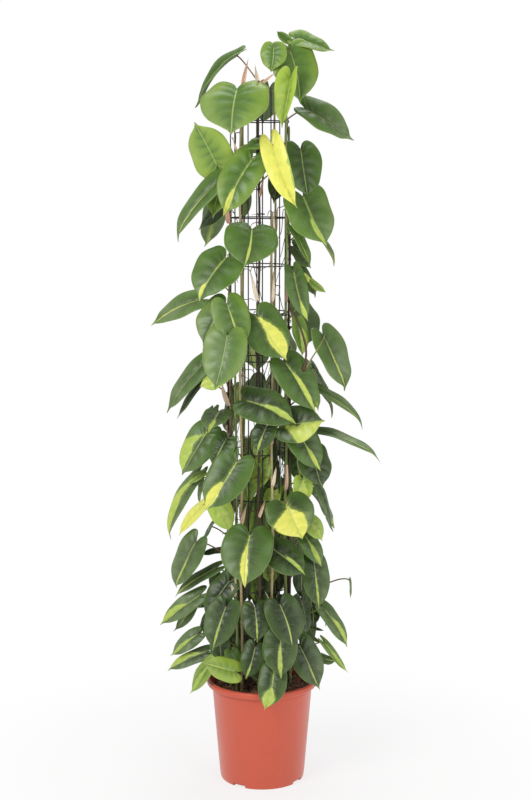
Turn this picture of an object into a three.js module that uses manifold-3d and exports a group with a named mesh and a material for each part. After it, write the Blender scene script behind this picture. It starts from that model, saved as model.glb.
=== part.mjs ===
// A potted brasil philodendron: leafy vines tied to a black wire column in a terracotta-coloured pot.
// Millimetres, +Z up, the viewer on the -Y side, the origin under the middle of the pot.

import * as THREE from 'three';
import Module from 'manifold-3d';
import { mergeVertices } from 'three/addons/utils/BufferGeometryUtils.js';

const wasm = await Module();
wasm.setup();

// Driving dimensions

// Gap between pieces that touch
const GAP = 0.3;

// Grower's pot with a rolled rim and a skirt under its floor
const POT = {
  rim: 120,
  height: 222,
  rimHeight: 13,
  neck: 108.6,
  foot: 90.7,
  wall: 2.6,
  floor: 8,
  floorThick: 3,
  skirt: 8,
  round: 3,
  sides: 32,
};
const NOTCH = { count: 4, first: -33, wide: 30, high: 6 };
const DRAIN = { count: 4, radius: 6, out: 52, sides: 6 };

// Peat that fills the pot
const SOIL = { top: 207, dip: 5, lumps: 1.6, sides: 24 };
// The holes in the peat run up past its surface
const HOLE_TOP = SOIL.top + 20;

// Welded wire mesh rolled into a column, a little left of the pot's axis
const COLUMN = {
  x: -6,
  radius: 61,
  wire: 2.5,
  top: 1480,
  foot: 60,
  topRing: 1408,
  pitch: 98.4,
  rings: 12,
  sides: 12,
  // Bearings of the upright wires, 0 towards the viewer and positive to the right
  bearings: [-90, -57, -22, 7, 46, 76, 112, 155, 185, 218],
};
// Wires are three-sided, this much wider at the corners than half their thickness
const WEDGE = 1.2;
// The uprights are sunk this far into the rings that they are welded to
const WELD = 0.4;
const UPRIGHT_RADIUS = COLUMN.radius - COLUMN.wire + WELD;

// Vine stems stand just outside the column
const STEM = { radius: 3.2, out: 67, foot: 150, step: 150, sides: 4 };
// A petiole leaves its stem lower than its leaf, by a share of the way out, and bows up and over:
// near and far are how far its bow's two handles reach, out and up, as shares of its span
const PETIOLE = {
  radius: 1.3,
  rise: 0.5,
  least: 14,
  most: 85,
  neck: 3.5,
  near: [0.35, 0.3],
  far: [0.12, 0.1],
};
const BLADE = { thick: 1, curl: 0.22, wave: 0.035, waves: 9 };
const SHEATH = { up: 5, bend: 12, fold: 35, widest: 0.35 };
// Leaves narrower than this have the plainer outline
const SMALL = 61;
const TIE = { thick: 1.6, slack: 0.9, spare: 0.2, sides: 6 };

// Leaves at the back: each pair is [least, how much more a draw can add], and the pitch grows from one share
// of its value at the ground by another up to the column's top
const BACK = {
  thinning: [0.5, 1],
  swing: [4, 10],
  long: [74, 46],
  shape: [0.68, 0.16],
  inward: 12,
  lean: [0.25, 0.3],
  rise: 44,
  twist: 16,
  turnAside: 30,
  fold: [8, 10],
  up: 20,
  bend: 18,
};

// Small helpers

const radians = THREE.MathUtils.degToRad;

function vec(list) {
  return new THREE.Vector3(list[0], list[1], list[2]);
}

// A point round the column, by its bearing from the viewer's side
function roundColumn(bearing, out, z) {
  const a = radians(bearing);
  return new THREE.Vector3(COLUMN.x + out * Math.sin(a), -out * Math.cos(a), z);
}

// Repeatable draws between 0 and 1
function draws(seed) {
  let state = seed;
  return () => {
    state = (state * 1103515245 + 12345) % 2147483648;
    return state / 2147483648;
  };
}

function solid(geometry) {
  const bare = geometry.index ? geometry.toNonIndexed() : geometry.clone();
  bare.deleteAttribute('normal');
  bare.deleteAttribute('uv');
  const merged = mergeVertices(bare, 1e-4);
  const whole = new wasm.Manifold(new wasm.Mesh({
    numProp: 3,
    vertProperties: new Float32Array(merged.attributes.position.array),
    triVerts: new Uint32Array(merged.index.array),
  }));
  return whole;
}

function geometryOf(whole) {
  const mesh = whole.getMesh();
  const geometry = new THREE.BufferGeometry();
  geometry.setAttribute('position', new THREE.BufferAttribute(new Float32Array(mesh.vertProperties), 3));
  geometry.setIndex(new THREE.BufferAttribute(new Uint32Array(mesh.triVerts), 1));
  return geometry;
}

// A regular section with its corners on a circle
function section(radius, sides) {
  const shape = new THREE.Shape();
  for (let i = 0; i < sides; i += 1) {
    const a = (i / sides) * 2 * Math.PI;
    const point = [radius * Math.cos(a), radius * Math.sin(a)];
    if (i === 0) shape.moveTo(...point);
    else shape.lineTo(...point);
  }
  return shape;
}

function rod(curve, radius, sides, steps) {
  return new THREE.ExtrudeGeometry(section(radius, sides), { steps, extrudePath: curve });
}

// An upright prism from z = low to z = high
function post(x, y, radius, sides, low, high, turn = 0) {
  const settings = { depth: high - low, bevelEnabled: false };
  const geometry = new THREE.ExtrudeGeometry(section(radius, sides), settings);
  geometry.rotateZ(turn);
  geometry.translate(x, y, low);
  return geometry;
}

// A lathe turned about +Z from [radius, height] pairs
function turned(profile, sides) {
  const geometry = new THREE.LatheGeometry(profile.map(([r, z]) => new THREE.Vector2(r, z)), sides);
  geometry.rotateX(Math.PI / 2);
  return geometry;
}

// Pot

function potGeometry() {
  const { rim, height, rimHeight, neck, foot, wall, floor, floorThick, skirt, round, sides } = POT;
  const under = height - rimHeight;
  const profile = [
    [0, floor],
    [foot - skirt - 2, floor],
    [foot - skirt, 0],
    [foot - round / 2, 0],
    [foot, round],
    [neck, under - round / 2],
    [rim - round / 2, under],
    [rim, under + round],
    [rim, height - round],
    [rim - round, height],
    [rim - 2 * round, height],
    [neck - wall, under - round],
    [foot - wall + 1, floor + floorThick],
    [0, floor + floorThick],
  ];
  let pot = solid(turned(profile, sides));
  for (let i = 0; i < NOTCH.count; i += 1) {
    const a = radians(NOTCH.first + (i * 360) / NOTCH.count);
    const notch = new THREE.BoxGeometry(NOTCH.wide, 2 * skirt + 4, NOTCH.high * 2);
    notch.translate(0, -foot + skirt / 2, 0);
    notch.rotateZ(a);
    pot = pot.subtract(solid(notch));
  }
  for (let i = 0; i < DRAIN.count; i += 1) {
    const a = ((i + 0.5) / DRAIN.count) * 2 * Math.PI;
    const x = DRAIN.out * Math.cos(a);
    const y = DRAIN.out * Math.sin(a);
    pot = pot.subtract(solid(post(x, y, DRAIN.radius, DRAIN.sides, floor - 2, floor + floorThick + 2)));
  }
  return geometryOf(pot);
}

// Soil with a plain hole for each upright wire and each stem

function soilGeometry(vines) {
  const { neck, foot, wall, floor, floorThick, height, rimHeight, round } = POT;
  const inside = (z) => {
    const low = floor + floorThick;
    const share = (z - low) / (height - rimHeight - round - low);
    return foot - wall + 1 + share * (neck - wall - (foot - wall + 1)) - GAP * 2;
  };
  const bottom = floor + floorThick + GAP;
  const edge = SOIL.top - SOIL.dip;
  const profile = [
    [0, bottom],
    [inside(bottom), bottom],
    [inside(edge), edge],
    [inside(edge) - 12, SOIL.top - 2],
    [88, SOIL.top],
    [78, SOIL.top],
    [45, SOIL.top + 1],
    [20, SOIL.top],
    [0, SOIL.top + 1],
  ];
  const geometry = turned(profile, SOIL.sides);
  const place = geometry.attributes.position;
  const lump = (x, y) => Math.sin(x * 0.11 + 1.7) * Math.cos(y * 0.13) + Math.sin(x * 0.23 - y * 0.19);
  for (let i = 0; i < place.count; i += 1) {
    const z = place.getZ(i);
    if (z > edge + 1) place.setZ(i, z + SOIL.lumps * lump(place.getX(i), place.getY(i)));
  }
  let soil = solid(geometry);
  for (const bearing of COLUMN.bearings) {
    const at = roundColumn(bearing, UPRIGHT_RADIUS, 0);
    const radius = COLUMN.wire / 2 * WEDGE + 2 * GAP;
    const turn = radians(bearing) + Math.PI / 2;
    soil = soil.subtract(solid(post(at.x, at.y, radius, 3, COLUMN.foot - GAP, HOLE_TOP, turn)));
  }
  for (const vine of vines) {
    const at = roundColumn(vine.bearing, STEM.out, 0);
    const radius = STEM.radius + GAP * Math.SQRT2;
    soil = soil.subtract(solid(post(at.x, at.y, radius, STEM.sides, STEM.foot - GAP, HOLE_TOP)));
  }
  return geometryOf(soil);
}

// Wire column: upright wires welded inside a stack of rings

function columnGeometry() {
  const half = COLUMN.wire / 2;
  let column = null;
  for (let i = 0; i < COLUMN.rings; i += 1) {
    const ring = turned([
      [COLUMN.radius - half, 0],
      [COLUMN.radius + half, -half],
      [COLUMN.radius + half, half],
      [COLUMN.radius - half, 0],
    ], COLUMN.sides);
    ring.translate(COLUMN.x, 0, COLUMN.topRing - i * COLUMN.pitch);
    column = column ? column.add(solid(ring)) : solid(ring);
  }
  for (const bearing of COLUMN.bearings) {
    const at = roundColumn(bearing, UPRIGHT_RADIUS, 0);
    const turn = radians(bearing) + Math.PI / 2;
    column = column.add(solid(post(at.x, at.y, half * WEDGE, 3, COLUMN.foot, COLUMN.top, turn)));
  }
  return geometryOf(column);
}

// Ties: an oval loop round a stem and the upright wire beside it

function tieGeometry({ vine, wire, z }) {
  const stem = roundColumn(vine, STEM.out, z);
  const upright = roundColumn(wire, UPRIGHT_RADIUS, z);
  const apart = stem.distanceTo(upright);
  const inner = STEM.radius + TIE.slack;
  const profile = [
    [inner, -TIE.thick / 2],
    [inner + TIE.thick, -TIE.thick / 2],
    [inner + TIE.thick, TIE.thick / 2],
    [inner, TIE.thick / 2],
    [inner, -TIE.thick / 2],
  ];
  const geometry = turned(profile, TIE.sides);
  geometry.scale((apart / 2 + inner) / inner + TIE.spare, 1 + TIE.spare, 1);
  geometry.rotateZ(Math.atan2(stem.y - upright.y, stem.x - upright.x));
  geometry.translate((stem.x + upright.x) / 2, (stem.y + upright.y) / 2, z);
  return geometryOf(solid(geometry));
}

// Leaf: a heart-shaped blade and its petiole in one closed surface

// Half of the heart outline, from the notch round the lobe to the drip tip: [across, along, rib point].
// Across runs from 0 at the rib to 1 at the blade's half width, along from 0 at the notch to 1 at the tip.
const HEART = {
  rib: [0, 0.2, 0.6, 1],
  edge: [[0.42, -0.17, 1], [0.92, -0.02, 1], [1, 0.3, 1], [0.7, 0.68, 2], [0.15, 0.9, 2]],
};
const SMALL_HEART = {
  rib: [0, 0.3, 0.7, 1],
  edge: [[0.42, -0.16, 1], [1, 0.14, 1], [0.8, 0.55, 2], [0.18, 0.88, 2]],
};

// The plan point (across, along) of a leaf as a place in space: a rib bent to an arc, with two folded halves
function leafFrame(row) {
  const { at, tip, wide, face, up, bend, fold, phase } = row;
  const start = vec(at);
  const chord = vec(tip).sub(start);
  const long = chord.length();
  const along = chord.clone().normalize();
  const look = new THREE.Vector3(
    Math.sin(radians(face)) * Math.cos(radians(up)),
    -Math.cos(radians(face)) * Math.cos(radians(up)),
    Math.sin(radians(up)),
  );
  const normal = look.addScaledVector(along, -look.dot(along)).normalize();
  const side = normal.clone().cross(along);
  const arc = radians(Math.abs(bend) < 2 ? 2 : bend);
  const radius = long / (2 * Math.sin(arc / 2));
  const place = (across, share, lift) => {
    const turn = arc * (0.5 - Math.max(0, share));
    const tangent = along.clone().multiplyScalar(Math.cos(turn)).addScaledVector(normal, Math.sin(turn));
    const out = normal.clone().multiplyScalar(Math.cos(turn)).addScaledVector(along, -Math.sin(turn));
    const half = wide / 2;
    const reach = Math.abs(across);
    const slope = radians(fold);
    const ripple = Math.sin(BLADE.waves * share + phase + Math.sign(across));
    const wave = BLADE.wave * wide * reach * reach * ripple;
    const rise = reach * half * Math.sin(slope) - BLADE.curl * half * reach * reach + wave;
    return start.clone()
      .addScaledVector(along, radius * (Math.sin(arc / 2) - Math.sin(turn)))
      .addScaledVector(normal, radius * (Math.cos(turn) - Math.cos(arc / 2)))
      .addScaledVector(tangent, Math.min(0, share) * long)
      .addScaledVector(side, across * half * Math.cos(slope))
      .addScaledVector(out, rise + lift);
  };
  const inward = along.clone().multiplyScalar(Math.cos(arc / 2)).addScaledVector(normal, Math.sin(arc / 2));
  return { place, start, side, normal, inward, half: wide / 2 };
}

// Three-sided rings along a petiole, carried back from the blade's notch to the root without a twist
function petioleRings(frame, route) {
  const { side, inward } = frame;
  const across = side.clone();
  const heading = inward.clone();
  return route.map(({ at, along }) => {
    const turn = new THREE.Quaternion().setFromUnitVectors(heading, along);
    across.applyQuaternion(turn);
    heading.copy(along);
    const lift = across.clone().cross(along).multiplyScalar(-1);
    const corner = (u, v) => at.clone()
      .addScaledVector(across, u * PETIOLE.radius)
      .addScaledVector(lift, v * PETIOLE.radius);
    return [corner(-1, 0.6), corner(1, 0.6), corner(0, -1.1)];
  });
}

// The same triangles on the upper and lower faces, a rim round the edge, and the petiole out of the notch
function leafGeometry(row, curve) {
  const frame = leafFrame(row);
  const { rib, edge } = row.wide < SMALL ? SMALL_HEART : HEART;
  const notch = PETIOLE.radius / frame.half;
  const last = rib.length - 1;
  const plan = rib.map((along) => [0, along]);
  const faces = [];
  const rim = [1, -1].map((sign) => {
    const line = [[notch, 0, 0], ...edge].map(([across, along, point]) => {
      plan.push([across * sign, along]);
      return { index: plan.length - 1, point };
    });
    line.push({ index: last, point: last });
    for (let i = 0; i + 1 < line.length; i += 1) {
      const a = line[i];
      const b = line[i + 1];
      const add = (p, q, r) => faces.push(sign > 0 ? [p, r, q] : [p, q, r]);
      if (b.index !== b.point) add(a.index, b.index, b.point);
      if (a.point !== b.point) add(a.index, b.point, a.point);
    }
    return line.map((step) => step.index);
  });
  const upper = plan.map(([across, along]) => frame.place(across, along, BLADE.thick / 2));
  const lower = plan.map(([across, along]) => frame.place(across, along, -BLADE.thick / 2));
  const n = plan.length;
  const points = [...upper, ...lower];
  const index = [];
  for (const [a, b, c] of faces) index.push(a, b, c, a + n, c + n, b + n);
  const round = [...rim[0], ...rim[1].slice(0, -1).reverse()];
  for (let i = 0; i + 1 < round.length; i += 1) {
    const [a, b] = [round[i], round[i + 1]];
    index.push(a, b, b + n, a, b + n, a + n);
  }
  // The open edge at the notch runs left, middle, right above, and back below
  const left = rim[1][0];
  const right = rim[0][0];
  let ring = null;
  petioleRings(frame, petioleRoute(frame, curve)).forEach((corners) => {
    const next = corners.map((corner) => points.push(corner) - 1);
    const [l, r, b] = next;
    if (ring === null) {
      index.push(left, 0, l, 0, r, l, 0, right, r, right, right + n, r, right + n, b, r);
      index.push(right + n, n, b, n, left + n, b, left + n, l, b, left + n, left, l);
    } else {
      for (let i = 0; i < 3; i += 1) {
        const j = (i + 1) % 3;
        index.push(ring[i], ring[j], next[j], ring[i], next[j], next[i]);
      }
    }
    ring = next;
  });
  index.push(...ring);
  const geometry = new THREE.BufferGeometry();
  geometry.setAttribute('position', new THREE.Float32BufferAttribute(points.flatMap((p) => p.toArray()), 3));
  geometry.setIndex(index);
  return geometry;
}

// A papery sheath: a narrow pointed scale on the stem, folded along its middle
function sheathGeometry([at, tip, wide, face]) {
  const { place } = leafFrame({ at, tip, wide, face, ...SHEATH, phase: 0 });
  const plan = [[0, 0], [1, SHEATH.widest], [0, 1], [-1, SHEATH.widest]];
  const points = [
    ...plan.map(([across, along]) => place(across, along, BLADE.thick / 2)),
    ...plan.map(([across, along]) => place(across, along, -BLADE.thick / 2)),
  ];
  const index = [0, 2, 1, 0, 3, 2, 4, 5, 6, 4, 6, 7];
  for (let i = 0; i < 4; i += 1) {
    const b = (i + 1) % 4;
    index.push(i, b, b + 4, i, b + 4, i + 4);
  }
  const geometry = new THREE.BufferGeometry();
  geometry.setAttribute('position', new THREE.Float32BufferAttribute(points.flatMap((p) => p.toArray()), 3));
  geometry.setIndex(index);
  return geometry;
}

// Vines

// Each vine: its bearing on the column, the height of its stem, any free points above, and the leaves and
// sheaths that grow from it. A leaf: [notch, tip, width, face bearing, upward look, bend, fold].
const VINES = [
  {
    name: 'vine_01',
    bearing: 0,
    top: 1490,
    leaves: [
      [[-55, -10, 1540], [-130, 15, 1435], 70, -75, 30, 45, 25],
      [[22, -92, 1358], [70, -125, 1232], 64, -20, 20, 15, 35],
      [[-20, -85, 1330], [-75, -120, 1215], 85, -10, 25, 15, 15],
      [[4, -80, 1366], [-34, -92, 1350], 34, -20, 40, 20, 15],
      [[-8, -86, 1012], [52, -104, 925], 92, 8, 18, 15, 10],
      [[-30, -94, 840], [70, -114, 795], 78, 0, 28, 20, 10],
      [[10, -80, 785], [-10, -90, 730], 50, -10, 20, 15, 12],
      [[-25, -105, 560], [-35, -150, 460], 108, 0, 20, 15, 8],
      [[-15, -85, 400], [-10, -110, 330], 62, 0, 20, 15, 10],
      [[-15, -75, 310], [-35, -90, 245], 52, -10, 15, 15, 10],
    ],
    sheaths: [
      [[-6, -67, 1470], [-14, -62, 1518], 20, 0],
      [[-6, -67, 1476], [30, -60, 1505], 14, 10],
      [[-4, -68, 1255], [5, -75, 1300], 13, 0],
      [[-8, -67, 1040], [-25, -72, 1110], 20, 0],
      [[-6, -68, 590], [8, -76, 632], 16, 0],
    ],
  },
  {
    name: 'vine_02',
    bearing: -34,
    top: 1450,
    leaves: [
      [[-50, -75, 1470], [-60, -140, 1375], 140, -12, 20, 25, 10],
      [[-20, -85, 1190], [-35, -145, 1115], 112, 0, 30, 25, 8],
      [[-75, -88, 1035], [-120, -105, 955], 85, -25, 20, 15, 12],
      [[-70, -108, 1040], [-40, -122, 950], 78, 12, 18, 15, 10],
      [[-70, -130, 978], [-95, -150, 870], 90, -3, 15, 15, 6],
    ],
    sheaths: [
      [[-42, -56, 1440], [-27, -50, 1532], 18, -20],
      [[-43, -56, 1330], [-60, -62, 1376], 14, -20],
      [[-43, -56, 925], [-38, -66, 968], 18, -10],
      [[-43, -56, 570], [-30, -66, 622], 20, -10],
    ],
  },
  {
    name: 'vine_03',
    bearing: -46,
    top: 980,
    leaves: [
      [[-75, -60, 755], [-105, -70, 700], 60, -30, 20, 15, 10],
      [[-52, -85, 712], [-118, -110, 612], 88, -10, 20, 10, 12],
      [[-97, -47, 620], [-65, -56, 555], 54, -14, 10, 10, 8],
      [[-70, -40, 445], [-120, -60, 365], 60, -20, 20, 15, 12],
      [[-76, -85, 402], [-104, -105, 312], 70, -3, 15, 15, 10],
      [[-55, -85, 260], [-125, -100, 285], 55, -10, 40, 10, 10],
      [[-90, -50, 320], [-85, -60, 270], 45, 0, 15, 10, 8],
      [[-65, -60, 295], [-50, -70, 250], 35, 10, 15, 10, 8],
    ],
    sheaths: [[[-54, -47, 415], [-66, -58, 445], 16, -20]],
  },
  {
    name: 'vine_04',
    bearing: 24,
    top: 1225,
    leaves: [
      [[50, -75, 915], [110, -95, 815], 80, 15, 15, 15, 12],
      [[45, -85, 790], [130, -95, 800], 85, 10, 30, 10, 10],
      [[50, -95, 625], [85, -125, 556], 108, 5, 45, 35, 15],
      [[25, -85, 525], [90, -105, 475], 75, 5, 40, 15, 12],
      [[38, -95, 408], [64, -115, 320], 78, 5, 15, 15, 10],
      [[40, -105, 345], [40, -130, 260], 75, 0, 15, 15, 10],
      [[25, -110, 270], [5, -140, 195], 62, -5, 15, 15, 10],
    ],
    sheaths: [
      [[22, -61, 1140], [25, -68, 1228], 20, 10],
      [[22, -61, 1040], [24, -70, 1105], 16, 10],
      [[21, -62, 745], [15, -74, 785], 18, 0],
      [[21, -62, 655], [30, -72, 700], 16, 10],
      [[21, -62, 400], [6, -72, 432], 10, 0],
    ],
  },
  {
    name: 'vine_05',
    bearing: 56,
    top: 1470,
    free: [[52, -25, 1510], [56, -8, 1565]],
    leaves: [
      [[24, -40, 1556], [18, -50, 1504], 56, -15, 25, 20, 10],
      [[57, -25, 1550], [78, -50, 1442], 100, 12, 25, 25, 12],
      [[55, -5, 1570], [30, 0, 1590], 24, 0, 0, -10, 40],
      [[70, 0, 1575], [145, 10, 1548], 56, 25, 42, 35, 20],
      [[58, -60, 1492], [40, -85, 1392], 72, -25, 15, 15, 50],
      [[92, -20, 1432], [184, -5, 1366], 84, 30, 36, 25, 22],
      [[80, -23, 1350], [95, -42, 1250], 96, 28, 20, 25, 8],
      [[85, -45, 1255], [135, -60, 1155], 105, 20, 20, 15, 12],
    ],
    sheaths: [
      [[50, -38, 1038], [48, -54, 1088], 18, 14],
      [[49, -39, 640], [52, -52, 700], 20, 20],
      [[49, -39, 545], [50, -54, 590], 16, 20],
    ],
  },
  {
    name: 'vine_06',
    bearing: 70,
    top: 1180,
    leaves: [
      [[64, -32, 1190], [102, -35, 1110], 35, 20, 60, 10, 25],
      [[68, -4, 1150], [102, 15, 1105], 50, 45, 30, 15, 10],
      [[66, -54, 1100], [94, -62, 1000], 48, 20, 20, 15, 15],
      [[75, -10, 1105], [115, 0, 1045], 45, 50, 20, 25, 15],
      [[100, -5, 1080], [135, 0, 1055], 18, 20, 20, 15, 15],
      [[75, -30, 995], [85, -45, 925], 45, 40, 15, 15, 20],
      [[130, -20, 965], [178, -32, 852], 84, 35, 30, 20, 20],
      [[80, -50, 880], [120, -60, 815], 45, 40, 15, 15, 15],
      [[120, -10, 850], [220, -5, 770], 45, 50, 50, 20, 25],
      [[75, -65, 770], [120, -80, 690], 70, 15, 20, 15, 12],
      [[85, -45, 665], [85, -50, 615], 45, 10, 20, 15, 20],
    ],
  },
  {
    name: 'vine_07',
    bearing: 84,
    top: 750,
    leaves: [
      [[125, -45, 768], [246, -105, 720], 45, 40, 60, 20, 20],
      [[105, -35, 725], [125, -60, 650], 80, 30, 15, 20, 8],
      [[95, -85, 590], [125, -95, 545], 45, 30, 20, 20, 15],
      [[120, -10, 640], [145, -5, 545], 45, 70, 20, 30, 15],
      [[90, -60, 550], [125, -75, 485], 45, 25, 20, 20, 15],
      [[110, -60, 490], [120, -85, 395], 60, 10, 15, 15, 12],
      [[85, -30, 400], [95, -40, 325], 55, 50, 15, 15, 8],
      [[135, -15, 375], [185, -10, 290], 42, 35, 25, 20, 12],
      [[80, -80, 315], [120, -95, 225], 68, 10, 20, 20, 12],
      [[135, -10, 300], [185, 0, 230], 22, 30, 30, 15, 15],
      [[125, -20, 270], [160, -15, 260], 28, 20, 50, 10, 10],
      [[105, -10, 335], [135, -5, 325], 10, 20, 60, 5, 10],
      [[95, -15, 320], [125, -10, 300], 14, 20, 40, 10, 10],
    ],
  },
  {
    name: 'vine_08',
    bearing: -66,
    top: 1330,
    leaves: [
      [[-92, -42, 1318], [-138, -50, 1405], 95, -30, 10, -15, 10],
      [[-85, -60, 1290], [-180, -50, 1165], 65, -35, 40, 25, 20],
      [[-80, -30, 1315], [-100, -45, 1210], 75, -30, 10, 20, 12],
      [[-80, -10, 1235], [-130, 0, 1185], 60, -40, 40, 20, 10],
      [[-75, -55, 1130], [-130, -85, 1045], 105, -20, 25, 20, 10],
    ],
    sheaths: [
      [[-67, -28, 1200], [-70, -46, 1262], 18, -30],
      [[-67, -28, 820], [-86, -45, 885], 24, -30],
      [[-67, -28, 745], [-74, -42, 782], 16, -30],
    ],
  },
  {
    name: 'vine_09',
    bearing: -78,
    top: 1030,
    leaves: [
      [[-130, 10, 1040], [-235, 50, 980], 70, -25, 45, 30, 15],
      [[-120, -10, 910], [-200, 0, 800], 60, -35, 35, 20, 12],
      [[-125, 5, 870], [-180, 15, 785], 30, -60, 20, 20, 20],
      [[-85, -60, 885], [-130, -60, 865], 40, -20, 30, 10, 10],
      [[-115, -25, 765], [-170, -20, 670], 75, -25, 20, 25, 10],
      [[-90, -40, 810], [-110, -110, 780], 65, -15, 35, 20, 12],
      [[-126, -4, 672], [-160, -4, 648], 25, -30, 50, 10, 10],
    ],
  },
  {
    name: 'vine_10',
    bearing: -90,
    top: 610,
    leaves: [
      [[-124, -20, 606], [-178, -16, 538], 28, -30, 20, 10, 15],
      [[-142, -25, 525], [-190, -10, 420], 68, -28, 25, 20, 12],
      [[-100, -10, 465], [-190, 0, 400], 35, -30, 50, 15, 15],
      [[-135, -10, 405], [-220, 5, 335], 45, -30, 25, 20, 15],
      [[-140, -15, 320], [-195, -10, 270], 42, -25, 30, 20, 10],
      [[-120, -25, 285], [-205, -15, 240], 38, -25, 45, 20, 10],
      [[-110, -60, 270], [-150, -50, 200], 40, -35, 20, 20, 12],
    ],
  },
  {
    name: 'vine_11',
    bearing: 112,
    top: 1400,
    leaves: [
      [[190, 0, 435], [190, 0, 395], 10, 60, 10, 10, 10],
    ],
    behind: { low: 300, high: 1350, pitch: 135, reach: 60, middle: 119, seed: 11 },
  },
  {
    name: 'vine_12',
    bearing: -115,
    top: 1350,
    leaves: [
      [[-140, 10, 660], [-205, 20, 520], 42, -40, 20, 20, 20],
      [[-130, 13, 650], [-134, 18, 597], 25, -60, 10, 15, 10],
      [[-85, 20, 500], [-135, 30, 485], 28, -20, 70, 15, 10],
      [[-145, 20, 385], [-190, 25, 315], 32, -30, 20, 15, 15],
      [[-120, 40, 385], [-140, 45, 360], 30, 200, 20, 10, 10],
      [[-105, 15, 335], [-130, 28, 305], 38, -40, 30, 15, 10],
    ],
    behind: { low: 320, high: 1300, pitch: 135, reach: 54, middle: -127, seed: 28 },
  },
  {
    name: 'vine_13',
    bearing: 150,
    top: 1480,
    leaves: [
      [[15, 75, 1480], [0, 90, 1405], 55, 180, 20, 15, 10],
      [[0, 75, 1370], [-35, 90, 1345], 38, 200, 20, 10, 10],
    ],
    behind: { low: 275, high: 1010, pitch: 110, reach: 36, middle: 158, seed: 26 },
  },
  {
    name: 'vine_14',
    bearing: -150,
    top: 1440,
    leaves: [
      [[-35, 75, 1260], [-40, 80, 1205], 28, 180, 20, 10, 10],
    ],
    behind: { low: 270, high: 1010, pitch: 110, reach: 40, middle: -166, seed: 7 },
  },
];

// Ties hold a stem to an upright wire
const TIES = [
  { vine: 0, wire: 7, z: 1220 },
  { vine: -66, wire: -57, z: 710 },
  { vine: 56, wire: 46, z: 1012 },
  { vine: -90, wire: -90, z: 540 },
  { vine: 150, wire: 155, z: 930 },
];

// Leaves stand close at the foot and further apart higher up
function thinning(z) {
  return BACK.thinning[0] + (BACK.thinning[1] * z) / COLUMN.top;
}

// Leaves that hang behind, one above the other, swinging to each side of the stem
function leavesBehind({ behind }) {
  if (!behind) return [];
  const draw = draws(behind.seed);
  const between = ([least, more]) => least + more * draw();
  const rows = [];
  let side = 1;
  for (let z = behind.low; z < behind.high; z += behind.pitch * thinning(z)) {
    const turn = behind.middle + side * between(BACK.swing);
    const long = between(BACK.long);
    const wide = long * between(BACK.shape);
    const out = behind.reach + STEM.out - BACK.inward * draw();
    const lean = long * between(BACK.lean);
    const notch = roundColumn(turn, out, z + BACK.rise * draw());
    const drop = Math.sqrt(long * long - lean * lean);
    const tip = roundColumn(turn + side * BACK.twist * draw(), out + lean, notch.z - drop);
    const face = turn + side * BACK.turnAside * draw();
    rows.push([notch.toArray(), tip.toArray(), wide, face, BACK.up, BACK.bend, between(BACK.fold)]);
    side = -side;
  }
  return rows;
}

function stemCurve(vine) {
  const points = [];
  const lengths = Math.ceil((vine.top - STEM.foot) / STEM.step);
  for (let i = 0; i <= lengths; i += 1) {
    const z = STEM.foot + (i / lengths) * (vine.top - STEM.foot);
    points.push(roundColumn(vine.bearing, STEM.out, z));
  }
  return new THREE.CatmullRomCurve3([...points, ...(vine.free || []).map(vec)]);
}

// The point of a rising curve at height z
function pointAtHeight(curve, z) {
  let low = 0;
  let high = 1;
  for (let i = 0; i < 24; i += 1) {
    const middle = (low + high) / 2;
    if (curve.getPointAt(middle).z < z) low = middle;
    else high = middle;
  }
  return curve.getPointAt(low);
}

// A petiole rises from the stem and bends over into the blade: places and headings from the notch back
function petioleRoute({ start, normal, inward }, curve) {
  const highest = curve.getPointAt(1).z - 2 * STEM.radius;
  const level = pointAtHeight(curve, Math.min(start.z, highest));
  const away = Math.hypot(start.x - level.x, start.y - level.y);
  const drop = Math.min(PETIOLE.most, Math.max(PETIOLE.least, away * PETIOLE.rise));
  const root = pointAtHeight(curve, Math.min(highest, start.z - drop));
  const span = root.distanceTo(start);
  const out = start.clone().sub(root).setZ(0).normalize();
  const near = root.clone().addScaledVector(out, span * PETIOLE.near[0]);
  near.z += span * PETIOLE.near[1];
  const far = start.clone().addScaledVector(normal, -span * PETIOLE.far[0]);
  far.z += span * PETIOLE.far[1];
  const bow = new THREE.CubicBezierCurve3(root, near, far, start);
  const neck = bow.getTangent(0.9).add(inward).normalize();
  return [
    { at: start.clone().addScaledVector(neck, -PETIOLE.neck), along: neck },
    { at: bow.getPoint(0.5), along: bow.getTangent(0.5) },
    { at: root, along: out.clone().setZ(0.5).normalize() },
  ];
}

function namedLeaf([at, tip, wide, face, up, bend, fold], i) {
  return { at, tip, wide, face, up, bend, fold, phase: i * 1.9 };
}

function vineGeometry(vine) {
  const curve = stemCurve(vine);
  const steps = Math.ceil(curve.getLength() / STEM.step);
  let whole = solid(rod(curve, STEM.radius, STEM.sides, steps));
  const rows = [...vine.leaves, ...leavesBehind(vine)];
  rows.map(namedLeaf).forEach((leaf) => {
    whole = whole.add(solid(leafGeometry(leaf, curve)));
  });
  for (const sheath of vine.sheaths || []) {
    whole = whole.add(solid(sheathGeometry(sheath)));
  }
  return geometryOf(whole);
}

// Materials

function finish(color, roughness, metalness = 0) {
  return new THREE.MeshStandardMaterial({ color, roughness, metalness });
}

const TERRACOTTA = finish(0xcd5f48, 0.45);
const PEAT = finish(0x2e1f19, 0.95);
const BLACK_WIRE = finish(0x1d1d1f, 0.5, 0.3);
const TIE_BLACK = finish(0x151515, 0.6);
const LEAF_GREENS = [0x4f7f45, 0x3f6b45, 0x5d8f43, 0x4a7358].map((color) => finish(color, 0.4));

// Assembly

const group = new THREE.Group();

function addMesh(name, geometry, material) {
  const mesh = new THREE.Mesh(geometry, material);
  mesh.name = name;
  group.add(mesh);
}

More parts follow.
